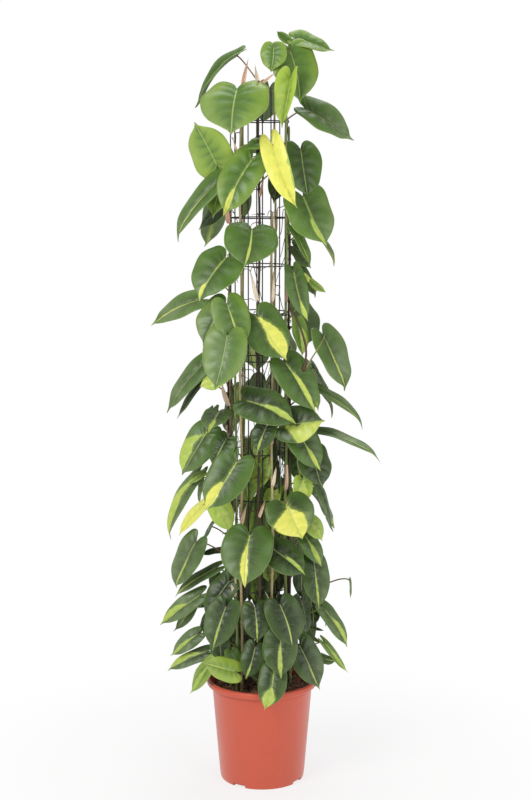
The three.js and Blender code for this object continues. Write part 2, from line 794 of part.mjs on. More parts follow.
addMesh('pot', potGeometry(), TERRACOTTA);
addMesh('soil', soilGeometry(VINES), PEAT);
addMesh('wire_column', columnGeometry(), BLACK_WIRE);
TIES.forEach((tie, i) => addMesh(`tie_${i + 1}`, tieGeometry(tie), TIE_BLACK));
VINES.forEach((vine, i) => addMesh(vine.name, vineGeometry(vine), LEAF_GREENS[i % LEAF_GREENS.length]));

export default group;
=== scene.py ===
"""A potted brasil philodendron on a black wire column, laid out as a Blender add-on and run as a script.

Values are millimetres unless a property says otherwise. Each finished piece is in metres in the part's frame.
"""

import math
import random

import bmesh
import bpy
import numpy as np
from bpy.props import FloatProperty, FloatVectorProperty, IntProperty, PointerProperty
from mathutils import Matrix, Vector, noise


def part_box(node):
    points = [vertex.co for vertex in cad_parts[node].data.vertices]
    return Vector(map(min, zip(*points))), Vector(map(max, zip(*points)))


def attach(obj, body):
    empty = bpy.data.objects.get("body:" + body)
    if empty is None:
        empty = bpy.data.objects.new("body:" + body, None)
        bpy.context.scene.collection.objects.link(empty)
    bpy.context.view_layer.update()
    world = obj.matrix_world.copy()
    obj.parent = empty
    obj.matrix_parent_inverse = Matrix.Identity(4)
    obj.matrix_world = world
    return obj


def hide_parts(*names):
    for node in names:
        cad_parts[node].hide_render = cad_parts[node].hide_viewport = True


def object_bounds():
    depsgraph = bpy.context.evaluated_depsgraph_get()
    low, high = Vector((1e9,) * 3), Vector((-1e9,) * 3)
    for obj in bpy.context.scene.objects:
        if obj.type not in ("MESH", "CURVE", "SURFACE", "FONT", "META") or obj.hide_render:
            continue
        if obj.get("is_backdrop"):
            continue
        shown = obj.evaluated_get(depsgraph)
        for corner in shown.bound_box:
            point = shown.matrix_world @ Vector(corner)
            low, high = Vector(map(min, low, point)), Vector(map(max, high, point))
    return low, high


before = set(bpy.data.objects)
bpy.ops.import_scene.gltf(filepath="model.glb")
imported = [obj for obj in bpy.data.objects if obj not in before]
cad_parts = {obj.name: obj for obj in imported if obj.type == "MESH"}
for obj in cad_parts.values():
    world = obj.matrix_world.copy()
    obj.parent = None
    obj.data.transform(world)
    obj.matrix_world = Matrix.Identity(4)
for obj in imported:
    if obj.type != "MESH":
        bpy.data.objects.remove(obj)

bl_info = {
    "name": "Potted brasil philodendron",
    "version": (1, 0, 0),
    "blender": (4, 5, 0),
    "location": "3D View > Sidebar > Plant",
    "description": "Builds the leaves, stems, wire column, peat and pot of a climbing house plant",
    "category": "Add Mesh",
}

CAD_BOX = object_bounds()
MM = 0.001
SAME = 1e-6
BODY = "root"

# The photograph's frame, in pixels
PHOTO = (531, 800)

# The pot, with the size of its node's box. Edges that turn by more than the sharp angle, in degrees, are
# rounded outside the hub.
POT_CORNER = np.array(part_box("pot")[1]) / MM
POT = dict(rim=POT_CORNER[0], height=POT_CORNER[2], rim_height=13, neck=108.6, foot=90.7, wall=2.6, floor=8,
           floor_thick=3, skirt=8, bead=3, round=0.7, sharp=25, hub=20)
NOTCH = dict(count=4, first=-33, wide=30, high=6, round=1.5, spare=2)
DRAIN = dict(count=4, radius=6, out=52)

# The peat, which falls from a share of its radius outwards. Each of its lumps has a height, a rate and a
# layer of noise, and the insets cut its top into rings.
PEAT = dict(top=207, edge=202, inside=104, steps=96, slope=(0.8, 5), lumps=((2.2, 45, 1), (1.6, 130, 7)),
            insets=(3, 3, 4, 4, 5, 5, 6, 6, 7, 7, 8, 8, 8, 8))
CRUMB = dict(spread=0.97, size=(0.25, 1.0), small=1.4, wide=(0.7, 1.4), high=(0.4, 0.9), above=0.2, ball=0.6)
FIBRE = dict(spread=0.95, long=(6, 24), points=5, stray=(-1, 1), above=(0, 2.5), radius=(0.25, 0.6), clear=3)

# The wire column and the vines round it
COLUMN = dict(x=-6, radius=61, wire=2.5, top=1480, foot=60, top_ring=1408, pitch=98.4, rings=12,
              bearings=(-90, -57, -22, 7, 46, 76, 112, 155, 185, 218), weld=(1.15, 1.15, 1.3))
UPRIGHT = dict(out=58.9, points=30, sway=0.35, stray=0.2)
STEM = dict(radius=3.2, out=67, foot=150, step=150, joint=0.9, joint_long=3.0, uneven=(0.75, 1.3),
            bare_top=20, sway=((1.6, 61), (1.2, 47)), settle=60, end=(0.9, 0.7, 0.4))
PETIOLE = dict(rise=0.5, least=14, most=85, near=(0.35, 0.3), far=(0.12, 0.1), radius=1.45, root=(1.1, 14),
               neck=(0.3, 9), steps=14)
AERIAL = dict(short=(8, 24), hanging=(45, 150), share=0.4, thick=0.95, thin=0.5, below_top=60)
TIE = dict(thick=1.6, slack=0.9, cord=0.55, end=0.5, longer=1.05, wider=1.1, wander=0.4, knot=0.9)

# Leaf blades. The curl, the wave, the ripple and the twist are shares of the half width. The lobes' droop,
# the hook at the tip and the sickle bend are shares of the length. A groove runs down each face at the rib.
BLADE = dict(curl=0.22, wave=0.035, waves=9, sweep=0.06, sickle=0.05, twist=0.16, ripple=0.012, ripples=31,
             lobes=0.2, lobe=0.14, hook=(-1.6, 2.2), hook_from=0.78, quilting=(0.7, 1.7), quilted_half=35,
             groove=0.06, groove_deep=0.9, groove_under=0.5, lens=0.7)

# A leaf's streak grows to its full width by the onset, sooner the wider it is, and closes at its end. It
# narrows with the leaf, and its edge is as sharp as that of a streak of the usual width.
STREAK = dict(onset=0.68, sooner=0.45, close=0.16, shift=0.3, narrow=0.2, usual=0.28, least=0.03, power=0.8,
              absent=0.4)

SHEATH = dict(up=5, bend=18, fold=52, narrow=0.72, crumple=0.9, pleat=0.5, roll=6)

# Leaves at the back: each pair is the least value and how much more a draw can add
BACK = dict(thinning=(0.5, 1), swing=(4, 10), long=(74, 46), shape=(0.68, 0.16), lean=(0.25, 0.3),
            fold=(8, 10), inward=12, rise=44, twist=16, turn_aside=30, up=20, bend=18)
# The leaves at the back grow lighter higher up: partly older leaves lower down, partly painted shade from the
# light above
BACK_LOOKS = dict(tone=0.1, higher=0.4, mottle=0.15, streaks=(0.04, 0.1, 0.18, 0.3, 0.42), side=(-0.2, 0.2),
                  start=(0, 0.4), end=1.15, tint=(0.3, 0.9))

# Small leaves that hang inside the column, from the stems at its back: each pair is the least and the most
INSIDE = dict(vines=("vine_13", "vine_14"), seed=8, low=232, high=780, pitch=26, thinning=(0.5, 4),
              shift=(-12, 12), out=(8, 50), long=(46, 74), shape=0.8, aside=45, lean=0.35, up=15, bend=18,
              fold=12, pale_above=430, pale=0.75, mottle=(0, 0.2), streaks=(0.03, 0.06, 0.14, 0.4),
              tint=(0.1, 0.6))

# Half outlines, from the notch round the lobe to the drip tip: (across, along), where 1 is the half width or
# the length. The heart is at its widest at the point with the number below.
HEART = ((0, 0), (0.06, -0.07), (0.2, -0.17), (0.45, -0.215), (0.73, -0.165), (0.93, 0.0), (1, 0.21),
         (0.98, 0.39), (0.88, 0.55), (0.7, 0.69), (0.48, 0.79), (0.28, 0.853), (0.13, 0.9), (0.055, 0.94),
         (0.03, 0.975), (0, 1))
WIDEST = 6
SCALE = ((0, 0), (0.6, 0.03), (0.95, 0.14), (1, 0.3), (0.78, 0.52), (0.42, 0.75), (0.16, 0.9), (0, 1))

# Each leaf: notch, tip, width, face bearing, upward look, bend, fold, then its looks: tone from dark to light
# green, the streak's half width, its place across, where it starts and ends along, and lime to yellow.
# The hidden leaves are half covered by others. The leaves behind follow a rule, which leaves_behind reads.
# Each sheath: root, tip, width, face bearing, and cream to salmon.
VINES = [
    dict(name="vine_01", bark="brown", bearing=0, top=1490, leaves=[
        ((-55, -10, 1540), (-130, 15, 1435), 70, -75, 30, 45, 25,  0.4, 0, 0, 0, 1, 0),
        ((22, -92, 1358), (70, -125, 1232), 64, -20, 20, 15, 35,  0.95, 1.15, -0.35, 0, 1.2, 1),
        ((-20, -85, 1330), (-75, -120, 1215), 85, -10, 25, 15, 15,  0.55, 0.24, 0, 0.45, 1.15, 0.9),
        ((4, -80, 1366), (-34, -92, 1350), 34, -20, 40, 20, 15,  0.5, 0, 0, 0, 1, 0),
        ((-8, -86, 1012), (52, -104, 925), 92, 8, 18, 15, 10,  0.3, 0.42, 0.22, 0, 1.15, 0.95),
        ((-30, -94, 840), (70, -114, 795), 78, 0, 28, 20, 10,  0.15, 0.24, 0.05, 0.2, 1.15, 0.35),
        ((10, -80, 785), (-10, -90, 730), 50, -10, 20, 15, 12,  0.1, 0.16, 0, 0.3, 1.1, 0.3),
        ((-25, -105, 560), (-35, -150, 460), 108, 0, 20, 15, 8,  0.3, 0.2, -0.03, 0.1, 1.15, 1),
        ((-15, -85, 400), (-10, -110, 330), 62, 0, 20, 15, 10,  0.08, 0.08, 0, 0.1, 1.15, 0.35),
        ((-15, -75, 310), (-35, -90, 245), 52, -10, 15, 15, 10,  0.12, 0.16, 0, 0.4, 1.15, 0.4),
    ], sheaths=[
        ((-6, -67, 1470), (-14, -62, 1518), 20, 0, 0.35),
        ((-6, -67, 1476), (30, -60, 1505), 14, 10, 0.7),
        ((-4, -68, 1255), (5, -75, 1300), 13, 0, 0.75),
        ((-8, -67, 1040), (-25, -72, 1110), 20, 0, 0.1),
        ((-6, -68, 590), (8, -76, 632), 16, 0, 0.6),
    ], hidden=[
        ((46, -20, 1316), (24, -28, 1240), 48, -10, 20, 15, 10,  0.1, 0, 0, 0, 1, 0),
    ]),
    dict(name="vine_02", bark="tan", bearing=-34, top=1450, leaves=[
        ((-50, -75, 1470), (-60, -140, 1375), 140, -12, 20, 25, 10,  0.6, 0, 0, 0, 1, 0.4),
        ((-20, -85, 1190), (-35, -145, 1115), 112, 0, 30, 25, 8,  0.4, 0.06, 0, 0, 1.15, 0.7),
        ((-75, -88, 1035), (-120, -105, 955), 85, -25, 20, 15, 12,  0.5, 0.3, 0.4, 0.05, 0.6, 0.9),
        ((-70, -108, 1040), (-40, -122, 950), 78, 12, 18, 15, 10,  0.5, 0.08, 0, 0.05, 1.1, 0.7),
        ((-70, -130, 978), (-95, -150, 870), 90, -3, 15, 15, 6,  0.55, 0, 0, 0, 1, 0.3),
    ], sheaths=[
        ((-42, -56, 1440), (-27, -50, 1532), 18, -20, 0.8),
        ((-43, -56, 1330), (-60, -62, 1376), 14, -20, 0.6),
        ((-43, -56, 925), (-38, -66, 968), 18, -10, 0.45),
        ((-43, -56, 570), (-30, -66, 622), 20, -10, 0.6),
    ], hidden=[
        ((-54, -28, 366), (-60, -45, 285), 50, -15, 15, 15, 10,  0.08, 0.06, 0, 0.1, 1.1, 0.3),
        ((-46, -26, 464), (-50, -38, 385), 46, 0, 15, 15, 10,  0.1, 0.04, 0, 0.1, 1.1, 0.3),
    ]),
    dict(name="vine_03", bark="green", bearing=-46, top=980, hidden=[
        ((-86, -14, 436), (-92, -20, 366), 46, -20, 15, 15, 10,  0.08, 0.04, 0, 0.1, 1.1, 0.3),
    ], leaves=[
        ((-75, -60, 755), (-105, -70, 700), 60, -30, 20, 15, 10,  0.2, 0.04, 0, 0, 1, 0.3),
        ((-52, -85, 712), (-118, -110, 612), 88, -10, 20, 10, 12,  0.3, 0.36, -0.15, 0.35, 1.15, 1),
        ((-97, -47, 620), (-65, -56, 555), 54, -14, 10, 10, 8,  0.95, 0.5, 0, 0, 1, 0.35),
        ((-70, -40, 445), (-120, -60, 365), 60, -20, 20, 15, 12,  0.1, 0, 0, 0, 1, 0.3),
        ((-76, -85, 402), (-104, -105, 312), 70, -3, 15, 15, 10,  0.12, 0.08, 0, 0, 1.15, 0.4),
        ((-55, -85, 260), (-125, -100, 285), 55, -10, 40, 10, 10,  0.85, 0.06, 0, 0, 1, 0.6),
        ((-90, -50, 320), (-85, -60, 270), 45, 0, 15, 10, 8,  0.1, 0, 0, 0, 1, 0.3),
        ((-65, -60, 295), (-50, -70, 250), 35, 10, 15, 10, 8,  0.5, 0.05, 0, 0, 1, 0.4),
    ], sheaths=[
        ((-54, -47, 415), (-66, -58, 445), 16, -20, 0.2),
    ]),
    dict(name="vine_04", bark="tan", bearing=24, top=1225, leaves=[
        ((50, -75, 915), (110, -95, 815), 80, 15, 15, 15, 12,  0.3, 0.17, 0.05, 0, 1.15, 0.6),
        ((45, -85, 790), (130, -95, 800), 85, 10, 30, 10, 10,  0.1, 0.6, -0.62, 0, 1.1, 0.6),
        ((50, -95, 625), (85, -125, 556), 108, 5, 45, 35, 15,  0.22, 0.75, -0.2, 0.12, 1.15, 1),
        ((25, -85, 525), (90, -105, 475), 75, 5, 40, 15, 12,  0.12, 0.14, 0.1, 0.2, 1.15, 0.3),
        ((38, -95, 408), (64, -115, 320), 78, 5, 15, 15, 10,  0.06, 0.06, 0, 0.1, 1.15, 0.35),
        ((40, -105, 345), (40, -130, 260), 75, 0, 15, 15, 10,  0.12, 0.17, 0, 0.12, 1.15, 0.45),
        ((25, -110, 270), (5, -140, 195), 62, -5, 15, 15, 10,  0.15, 0.6, 0, 0.4, 1.15, 0.4),
    ], sheaths=[
        ((22, -61, 1140), (25, -68, 1228), 20, 10, 0.1),
        ((22, -61, 1040), (24, -70, 1105), 16, 10, 0.15),
        ((21, -62, 745), (15, -74, 785), 18, 0, 0.55),
        ((21, -62, 655), (30, -72, 700), 16, 10, 0.15),
        ((21, -62, 400), (6, -72, 432), 10, 0, 0.2),
    ]),
    dict(name="vine_05", bark="green", bearing=56, top=1470, free=[[52, -25, 1510], [56, -8, 1565]], leaves=[
        ((24, -40, 1556), (18, -50, 1504), 56, -15, 25, 20, 10,  0.6, 0, 0, 0, 1, 0.3),
        ((57, -25, 1550), (78, -50, 1442), 100, 12, 25, 25, 12,  0.55, 0, 0, 0, 1, 0.3),
        ((55, -5, 1570), (30, 0, 1590), 24, 0, 0, -10, 40,  0.5, 0, 0, 0, 1, 0.3),
        ((70, 0, 1575), (145, 10, 1548), 56, 25, 42, 35, 20,  0.55, 0.04, 0, 0, 1, 0.3),
        ((58, -60, 1492), (40, -85, 1392), 72, -25, 15, 15, 50,  0.95, 0.45, -0.5, 0, 1.1, 0.25),
        ((92, -20, 1432), (184, -5, 1366), 84, 30, 36, 25, 22,  0.35, 0, 0, 0, 1, 0.3),
        ((80, -23, 1350), (95, -42, 1250), 96, 28, 20, 25, 8,  0.3, 0, 0, 0, 1, 0.3),
        ((85, -45, 1255), (135, -60, 1155), 105, 20, 20, 15, 12,  0.45, 0.17, -0.12, 0.3, 1.1, 0.45),
    ], sheaths=[
        ((50, -38, 1038), (48, -54, 1088), 18, 14, 0.55),
        ((49, -39, 640), (52, -52, 700), 20, 20, 0.6),
        ((49, -39, 545), (50, -54, 590), 16, 20, 0.15),
    ]),
    dict(name="vine_06", bark="brown", bearing=70, top=1180, leaves=[
        ((64, -32, 1190), (102, -35, 1110), 35, 20, 60, 10, 25,  0.45, 0.1, 0, 0, 1.1, 0.5),
        ((68, -4, 1150), (102, 15, 1105), 50, 45, 30, 15, 10,  0.15, 0, 0, 0, 1, 0.3),
        ((66, -54, 1100), (94, -62, 1000), 48, 20, 20, 15, 15,  0.35, 0.42, 0, 0.55, 1.15, 0.6),
        ((75, -10, 1105), (115, 0, 1045), 45, 50, 20, 25, 15,  0.15, 0.3, 0.3, 0.1, 0.8, 0.7),
        ((100, -5, 1080), (135, 0, 1055), 18, 20, 20, 15, 15,  0.8, 0, 0, 0, 1, 0.3),
        ((75, -30, 995), (85, -45, 925), 45, 40, 15, 15, 20,  0.6, 0.5, 0.4, 0.05, 1.1, 0.3),
        ((130, -20, 965), (178, -32, 852), 84, 35, 30, 20, 20,  0.35, 0.08, 0, 0, 1.1, 0.6),
        ((80, -50, 880), (120, -60, 815), 45, 40, 15, 15, 15,  0.6, 0.2, 0, 0, 1, 0.3),
        ((120, -10, 850), (220, -5, 770), 45, 50, 50, 20, 25,  0.35, 0.1, 0, 0, 1.1, 0.5),
        ((75, -65, 770), (120, -80, 690), 70, 15, 20, 15, 12,  0.3, 0.22, 0, 0.3, 1.15, 0.6),
        ((85, -45, 665), (85, -50, 615), 45, 10, 20, 15, 20,  0.9, 0.5, 0, 0, 1.1, 0.6),
    ], hidden=[
        ((86, 4, 462), (88, -6, 392), 42, 25, 15, 15, 10,  0.1, 0.04, 0, 0.1, 1.1, 0.3),
        ((104, 6, 398), (112, 0, 330), 46, 25, 15, 15, 10,  0.06, 0.05, 0, 0.1, 1.1, 0.3),
        ((72, -3, 728), (81, -12, 647), 52, 25, 15, 15, 12,  0.2, 0.1, 0, 0.1, 1.1, 0.4),
        ((51, -10, 632), (38, -18, 572), 36, 5, 15, 15, 15,  0.85, 0.5, 0, 0, 1.1, 0.4),
    ]),
    dict(name="vine_07", bark="green", bearing=84, top=750, leaves=[
        ((125, -45, 768), (246, -105, 720), 45, 40, 60, 20, 20,  0.35, 0.08, 0, 0, 1.1, 0.4),
        ((105, -35, 725), (125, -60, 650), 80, 30, 15, 20, 8,  0.1, 0, 0, 0, 1, 0.3),
        ((95, -85, 590), (125, -95, 545), 45, 30, 20, 20, 15,  0.95, 0.3, 0, 0, 1.1, 0.3),
        ((120, -10, 640), (145, -5, 545), 45, 70, 20, 30, 15,  0.25, 0.04, 0, 0, 1, 0.3),
        ((90, -60, 550), (125, -75, 485), 45, 25, 20, 20, 15,  0.3, 0.3, 0, 0.1, 1.1, 0.4),
        ((110, -60, 490), (120, -85, 395), 60, 10, 15, 15, 12,  0.16, 0.1, 0, 0.05, 1.1, 0.4),
        ((85, -30, 400), (95, -40, 325), 55, 50, 15, 15, 8,  0.08, 0, 0, 0, 1, 0.3),
        ((135, -15, 375), (185, -10, 290), 42, 35, 25, 20, 12,  0.3, 0.3, 0.2, 0.15, 1.1, 0.5),
        ((80, -80, 315), (120, -95, 225), 68, 10, 20, 20, 12,  0.08, 0.07, -0.05, 0.1, 1.1, 0.35),
        ((135, -10, 300), (185, 0, 230), 22, 30, 30, 15, 15,  0.6, 0.4, 0, 0, 1.1, 0.4),
        ((125, -20, 270), (160, -15, 260), 28, 20, 50, 10, 10,  0.25, 0.1, 0, 0, 1, 0.3),
        ((105, -10, 335), (135, -5, 325), 10, 20, 60, 5, 10,  0.2, 0, 0, 0, 1, 0.3),
        ((95, -15, 320), (125, -10, 300), 14, 20, 40, 10, 10,  0.2, 0, 0, 0, 1, 0.3),
    ]),
    dict(name="vine_08", bark="tan", bearing=-66, top=1330, leaves=[
        ((-92, -42, 1318), (-138, -50, 1405), 95, -30, 10, -15, 10,  0.74, 0, 0, 0, 1, 0.1),
        ((-85, -60, 1290), (-180, -50, 1165), 65, -35, 40, 25, 20,  0.4, 0.07, 0, 0, 1.1, 0.5),
        ((-80, -30, 1315), (-100, -45, 1210), 75, -30, 10, 20, 12,  0.7, 0.04, 0, 0, 1, 0.3),
        ((-80, -10, 1235), (-130, 0, 1185), 60, -40, 40, 20, 10,  0.05, 0, 0, 0, 1, 0.3),
        ((-75, -55, 1130), (-130, -85, 1045), 105, -20, 25, 20, 10,  0.4, 0.2, -0.08, 0.55, 1.15, 0.9),
    ], sheaths=[
        ((-67, -28, 1200), (-70, -46, 1262), 18, -30, 0.85),
        ((-67, -28, 820), (-86, -45, 885), 24, -30, 0.3),
        ((-67, -28, 745), (-74, -42, 782), 16, -30, 0.5),
    ]),
    dict(name="vine_09", bark="brown", bearing=-78, top=1030, leaves=[
        ((-130, 10, 1040), (-235, 50, 980), 70, -25, 45, 30, 15,  0.45, 0.07, 0, 0, 1.1, 0.8),
        ((-120, -10, 910), (-200, 0, 800), 60, -35, 35, 20, 12,  0.35, 0.03, 0, 0, 1, 0.3),
        ((-125, 5, 870), (-180, 15, 785), 30, -60, 20, 20, 20,  0.15, 0, 0, 0, 1, 0.3),
        ((-85, -60, 885), (-130, -60, 865), 40, -20, 30, 10, 10,  0.9, 0.6, 0, 0, 1, 0.6),
        ((-115, -25, 765), (-170, -20, 670), 75, -25, 20, 25, 10,  0.35, 0.45, -0.6, 0.05, 1, 0.4),
        ((-90, -40, 810), (-110, -110, 780), 65, -15, 35, 20, 12,  0.2, 0.3, 0.1, 0.45, 1.15, 0.5),
        ((-126, -4, 672), (-160, -4, 648), 25, -30, 50, 10, 10,  0.7, 0.3, 0, 0, 1, 0.3),
    ]),
    dict(name="vine_10", bark="green", bearing=-90, top=610, leaves=[
        ((-124, -20, 606), (-178, -16, 538), 28, -30, 20, 10, 15,  0.9, 1.2, 0, 0, 1.2, 0.95),
        ((-142, -25, 525), (-190, -10, 420), 68, -28, 25, 20, 12,  0.25, 0.12, 0.1, 0.1, 1.1, 0.45),
        ((-100, -10, 465), (-190, 0, 400), 35, -30, 50, 15, 15,  0.2, 0.16, 0, 0.1, 1.1, 0.4),
        ((-135, -10, 405), (-220, 5, 335), 45, -30, 25, 20, 15,  0.3, 0.4, -0.3, 0.25, 1.1, 0.4),
        ((-140, -15, 320), (-195, -10, 270), 42, -25, 30, 20, 10,  0.25, 0.25, 0, 0, 1.1, 0.4),
        ((-120, -25, 285), (-205, -15, 240), 38, -25, 45, 20, 10,  0.15, 0.5, -0.5, 0.1, 1.1, 0.4),
        ((-110, -60, 270), (-150, -50, 200), 40, -35, 20, 20, 12,  0.75, 0.3, 0, 0, 1.1, 0.3),
    ]),
    dict(name="vine_11", bark="green", bearing=112, top=1400, leaves=[
        ((190, 0, 435), (190, 0, 395), 10, 60, 10, 10, 10,  0.2, 0.1, 0, 0, 1, 0.3),
    ], behind=dict(low=300, high=1350, pitch=135, reach=60, middle=119, seed=11)),
    dict(name="vine_12", bark="brown", bearing=-115, top=1350, leaves=[
        ((-140, 10, 660), (-205, 20, 520), 42, -40, 20, 20, 20,  0.3, 0.5, -0.5, 0, 1.1, 0.5),
        ((-130, 13, 650), (-134, 18, 597), 25, -60, 10, 15, 10,  0.5, 0.1, 0, 0, 1, 0.3),
        ((-85, 20, 500), (-135, 30, 485), 28, -20, 70, 15, 10,  0.1, 0, 0, 0, 1, 0.3),
        ((-145, 20, 385), (-190, 25, 315), 32, -30, 20, 15, 15,  0.3, 0.1, 0, 0, 1, 0.3),
        ((-120, 40, 385), (-140, 45, 360), 30, 200, 20, 10, 10,  0.1, 0.1, 0, 0, 1, 0.3),
        ((-105, 15, 335), (-130, 28, 305), 38, -40, 30, 15, 10,  0.1, 0.1, 0, 0, 1, 0.3),
    ], behind=dict(low=320, high=1300, pitch=135, reach=54, middle=-127, seed=28)),
    dict(name="vine_13", bark="tan", bearing=150, top=1480, leaves=[
        ((15, 75, 1480), (0, 90, 1405), 55, 180, 20, 15, 10,  0.1, 0, 0, 0, 1, 0.3),
        ((0, 75, 1370), (-35, 90, 1345), 38, 200, 20, 10, 10,  0.1, 0.1, 0, 0, 1, 0.3),
    ], hidden=[
        ((22, 14, 474), (30, 4, 398), 50, 10, 15, 15, 10,  0.12, 0.05, 0, 0.1, 1.1, 0.3),
        ((-22, 22, 452), (-26, 12, 384), 48, -10, 15, 15, 10,  0.1, 0.05, 0, 0.1, 1.1, 0.3),
        ((0, 10, 749), (13, 0, 660), 60, 8, 15, 15, 10,  0.15, 0.05, 0, 0.1, 1.1, 0.3),
        ((21, 5, 594), (45, -5, 526), 48, 20, 15, 15, 12,  0.4, 0.3, 0.2, 0.3, 1.1, 0.4),
    ], behind=dict(low=275, high=1010, pitch=110, reach=36, middle=158, seed=26)),
    dict(name="vine_14", bark="green", bearing=-150, top=1440, leaves=[
        ((-35, 75, 1260), (-40, 80, 1205), 28, 180, 20, 10, 10,  0.5, 0.1, 0, 0, 1, 0.3),
    ], hidden=[
        ((-45, -14, 690), (-27, -26, 606), 56, -8, 15, 15, 10,  0.72, 0.1, 0, 0.1, 1.1, 0.2),
        ((-17, 5, 616), (-28, -5, 539), 54, -12, 15, 15, 12,  0.5, 0.25, 0, 0.2, 1.1, 0.3),
        ((-40, 20, 842), (-44, 10, 773), 40, -20, 15, 15, 12,  0.65, 0.1, 0, 0.1, 1.1, 0.2),
    ], behind=dict(low=270, high=1010, pitch=110, reach=40, middle=-166, seed=7)),
]

# Ties: the bearings of the stem and of the upright, and the height
TIES = ((0, 7, 1220), (-66, -57, 710), (56, 46, 1012), (-90, -90, 540), (150, 155, 930))

# A side shoot that hangs from its vine to a swollen joint, from which the stalk of one numbered leaf rises
SHOOT = dict(vine="vine_06", leaf=6, radius=2.4, joint=6, joint_at=0.96, joint_long=0.025, end=(0.8, 0.4),
             route=((57, -23, 1040), (57, -48, 1028), (70, -62, 1008), (84, -72, 974), (91, -76, 939),
                    (86, -78, 898)),
             stalk=((90, -77, 903), (102, -76, 925), (122, -66, 955), (130, -22, 966)))


# Settings

def colour(name, text, value):
    return FloatVectorProperty(name=name, description=text, subtype="COLOR", size=3, min=0, max=1,
                               default=value)


def length(name, text, value):
    return FloatProperty(name=name, description=text, subtype="DISTANCE", unit="LENGTH", min=0, default=value)


def factor(name, text, value):
    return FloatProperty(name=name, description=text, subtype="FACTOR", min=0, max=1, default=value)


class PotSettings(bpy.types.PropertyGroup):
    plastic: colour("Plastic", "Colour of the moulded pot", (0.6, 0.094, 0.045))
    scuff: colour("Scuff", "Colour of the faint scuffs", (0.66, 0.25, 0.18))
    gloss: factor("Roughness", "Roughness of the plastic", 0.3)
    steps: IntProperty(name="Steps", description="Faces round the pot", min=32, default=128)


class PeatSettings(bpy.types.PropertyGroup):
    dark: colour("Dark", "Colour of moist peat", (0.085, 0.04, 0.025))
    light: colour("Light", "Colour of dry crumbs", (0.42, 0.2, 0.125))
    fibre: colour("Fibre", "Colour of the reddish fibres", (0.6, 0.3, 0.18))
    crumbs: IntProperty(name="Crumbs", description="How many crumbs lie on the peat", min=0, default=900)
    fibres: IntProperty(name="Fibres", description="How many fibres lie on the peat", min=0, default=170)
    crumb: length("Crumb size", "Mean size of a crumb", 0.0042)


class WireSettings(bpy.types.PropertyGroup):
    coating: colour("Coating", "Colour of the coated wire", (0.012, 0.012, 0.013))
    tie: colour("Tie", "Colour of the soft ties", (0.009, 0.009, 0.009))
    thickness: length("Wire", "Thickness of the wire", COLUMN["wire"] * MM)


class StemSettings(bpy.types.PropertyGroup):
    green: colour("Green bark", "Colour of young stems", (0.2, 0.25, 0.07))
    brown: colour("Brown bark", "Colour of old stems", (0.075, 0.045, 0.022))
    tan: colour("Tan bark", "Colour of dry skin on a stem", (0.5, 0.4, 0.2))
    stalk: colour("Stalk", "Colour of the leaf stalks", (0.23, 0.26, 0.085))
    stalk_red: colour("Stalk blush", "Reddish blush on the leaf stalks", (0.2, 0.09, 0.05))
    root: colour("Root", "Colour of the aerial roots", (0.085, 0.05, 0.026))
    foot: length("Stem at the foot", "Radius of a stem where it leaves the peat", 0.0031)
    tip: length("Stem at the top", "Radius of a stem at its top", 0.0022)
    joint: length("Joint spacing", "Distance between the joints of a stem", 0.072)


class LeafSettings(bpy.types.PropertyGroup):
    dark: colour("Dark green", "Deep green of old leaves", (0.018, 0.035, 0.01))
    middle: colour("Middle green", "Green of most leaves", (0.085, 0.178, 0.022))
    light: colour("Light green", "Lime green of young leaves", (0.36, 0.5, 0.06))
    # The greyish green of a painted sheen on the leaves that stand furthest out
    painted_sheen: colour("Painted sheen", "Greyish green of the outermost leaves", (0.22, 0.28, 0.15))
    lime: colour("Lime streak", "Lime part of the streak", (0.36, 0.5, 0.09))
    yellow: colour("Yellow streak", "Yellow part of the streak", (0.8, 0.77, 0.14))
    rib: colour("Rib", "Pale green of ribs and margins", (0.42, 0.52, 0.17))
    under: colour("Underside", "Grey-green of the underside", (0.2, 0.28, 0.13))
    thickness: length("Thickness", "Thickness of a blade", 0.0008)
    relief: length("Relief", "How far the blade bulges between its veins", 0.0014)
    veins: IntProperty(name="Veins", description="Side veins on each half", min=3, default=8)
    roughness: factor("Roughness", "Roughness of the waxy upper face", 0.39)


class SheathSettings(bpy.types.PropertyGroup):
    cream: colour("Cream", "Colour of a pale sheath", (0.82, 0.74, 0.56))
    salmon: colour("Salmon", "Colour of a pink-tan sheath", (0.7, 0.37, 0.25))
    brown: colour("Brown", "Colour of the dry edges", (0.22, 0.12, 0.06))
    thickness: length("Thickness", "Thickness of a sheath", 0.0006)


class StageSettings(bpy.types.PropertyGroup):
    floor: colour("Floor", "Colour of the floor", (0.86, 0.855, 0.85))
    sky: FloatProperty(name="Surround", description="How strongly the surround lights", min=0, default=0.37)
    key: FloatProperty(name="Key light", description="Power of the key light in watts", min=0, default=72)
    fill: FloatProperty(name="Fill light", description="Power of the fill light in watts", min=0, default=30)
    camera: FloatVectorProperty(name="Camera", description="Place of the camera", subtype="TRANSLATION",
                                unit="LENGTH", size=3, default=(0.0074, -3.221, 1.298))
    pitch: FloatProperty(name="Pitch", description="How far the camera looks down", subtype="ANGLE",
                         unit="ROTATION", default=math.radians(8.3))
    focal: FloatProperty(name="Focal length", description="Focal length in pixels of the photo", default=1539)


# Geometry helpers

def round_column(bearing, out, z):
    """A place round the column's axis. A bearing of 0 is the front, and 90 is the right side."""
    a = math.radians(bearing)
    return np.array((COLUMN["x"] + out * math.sin(a), -out * math.cos(a), z))


def draws(seed):
    """Repeatable draws between 0 and 1, the same as the part's own."""
    state = seed
    while True:
        state = (state * 1103515245 + 12345) % 2147483648
        yield state / 2147483648


def unit(v):
    return v / np.linalg.norm(v)


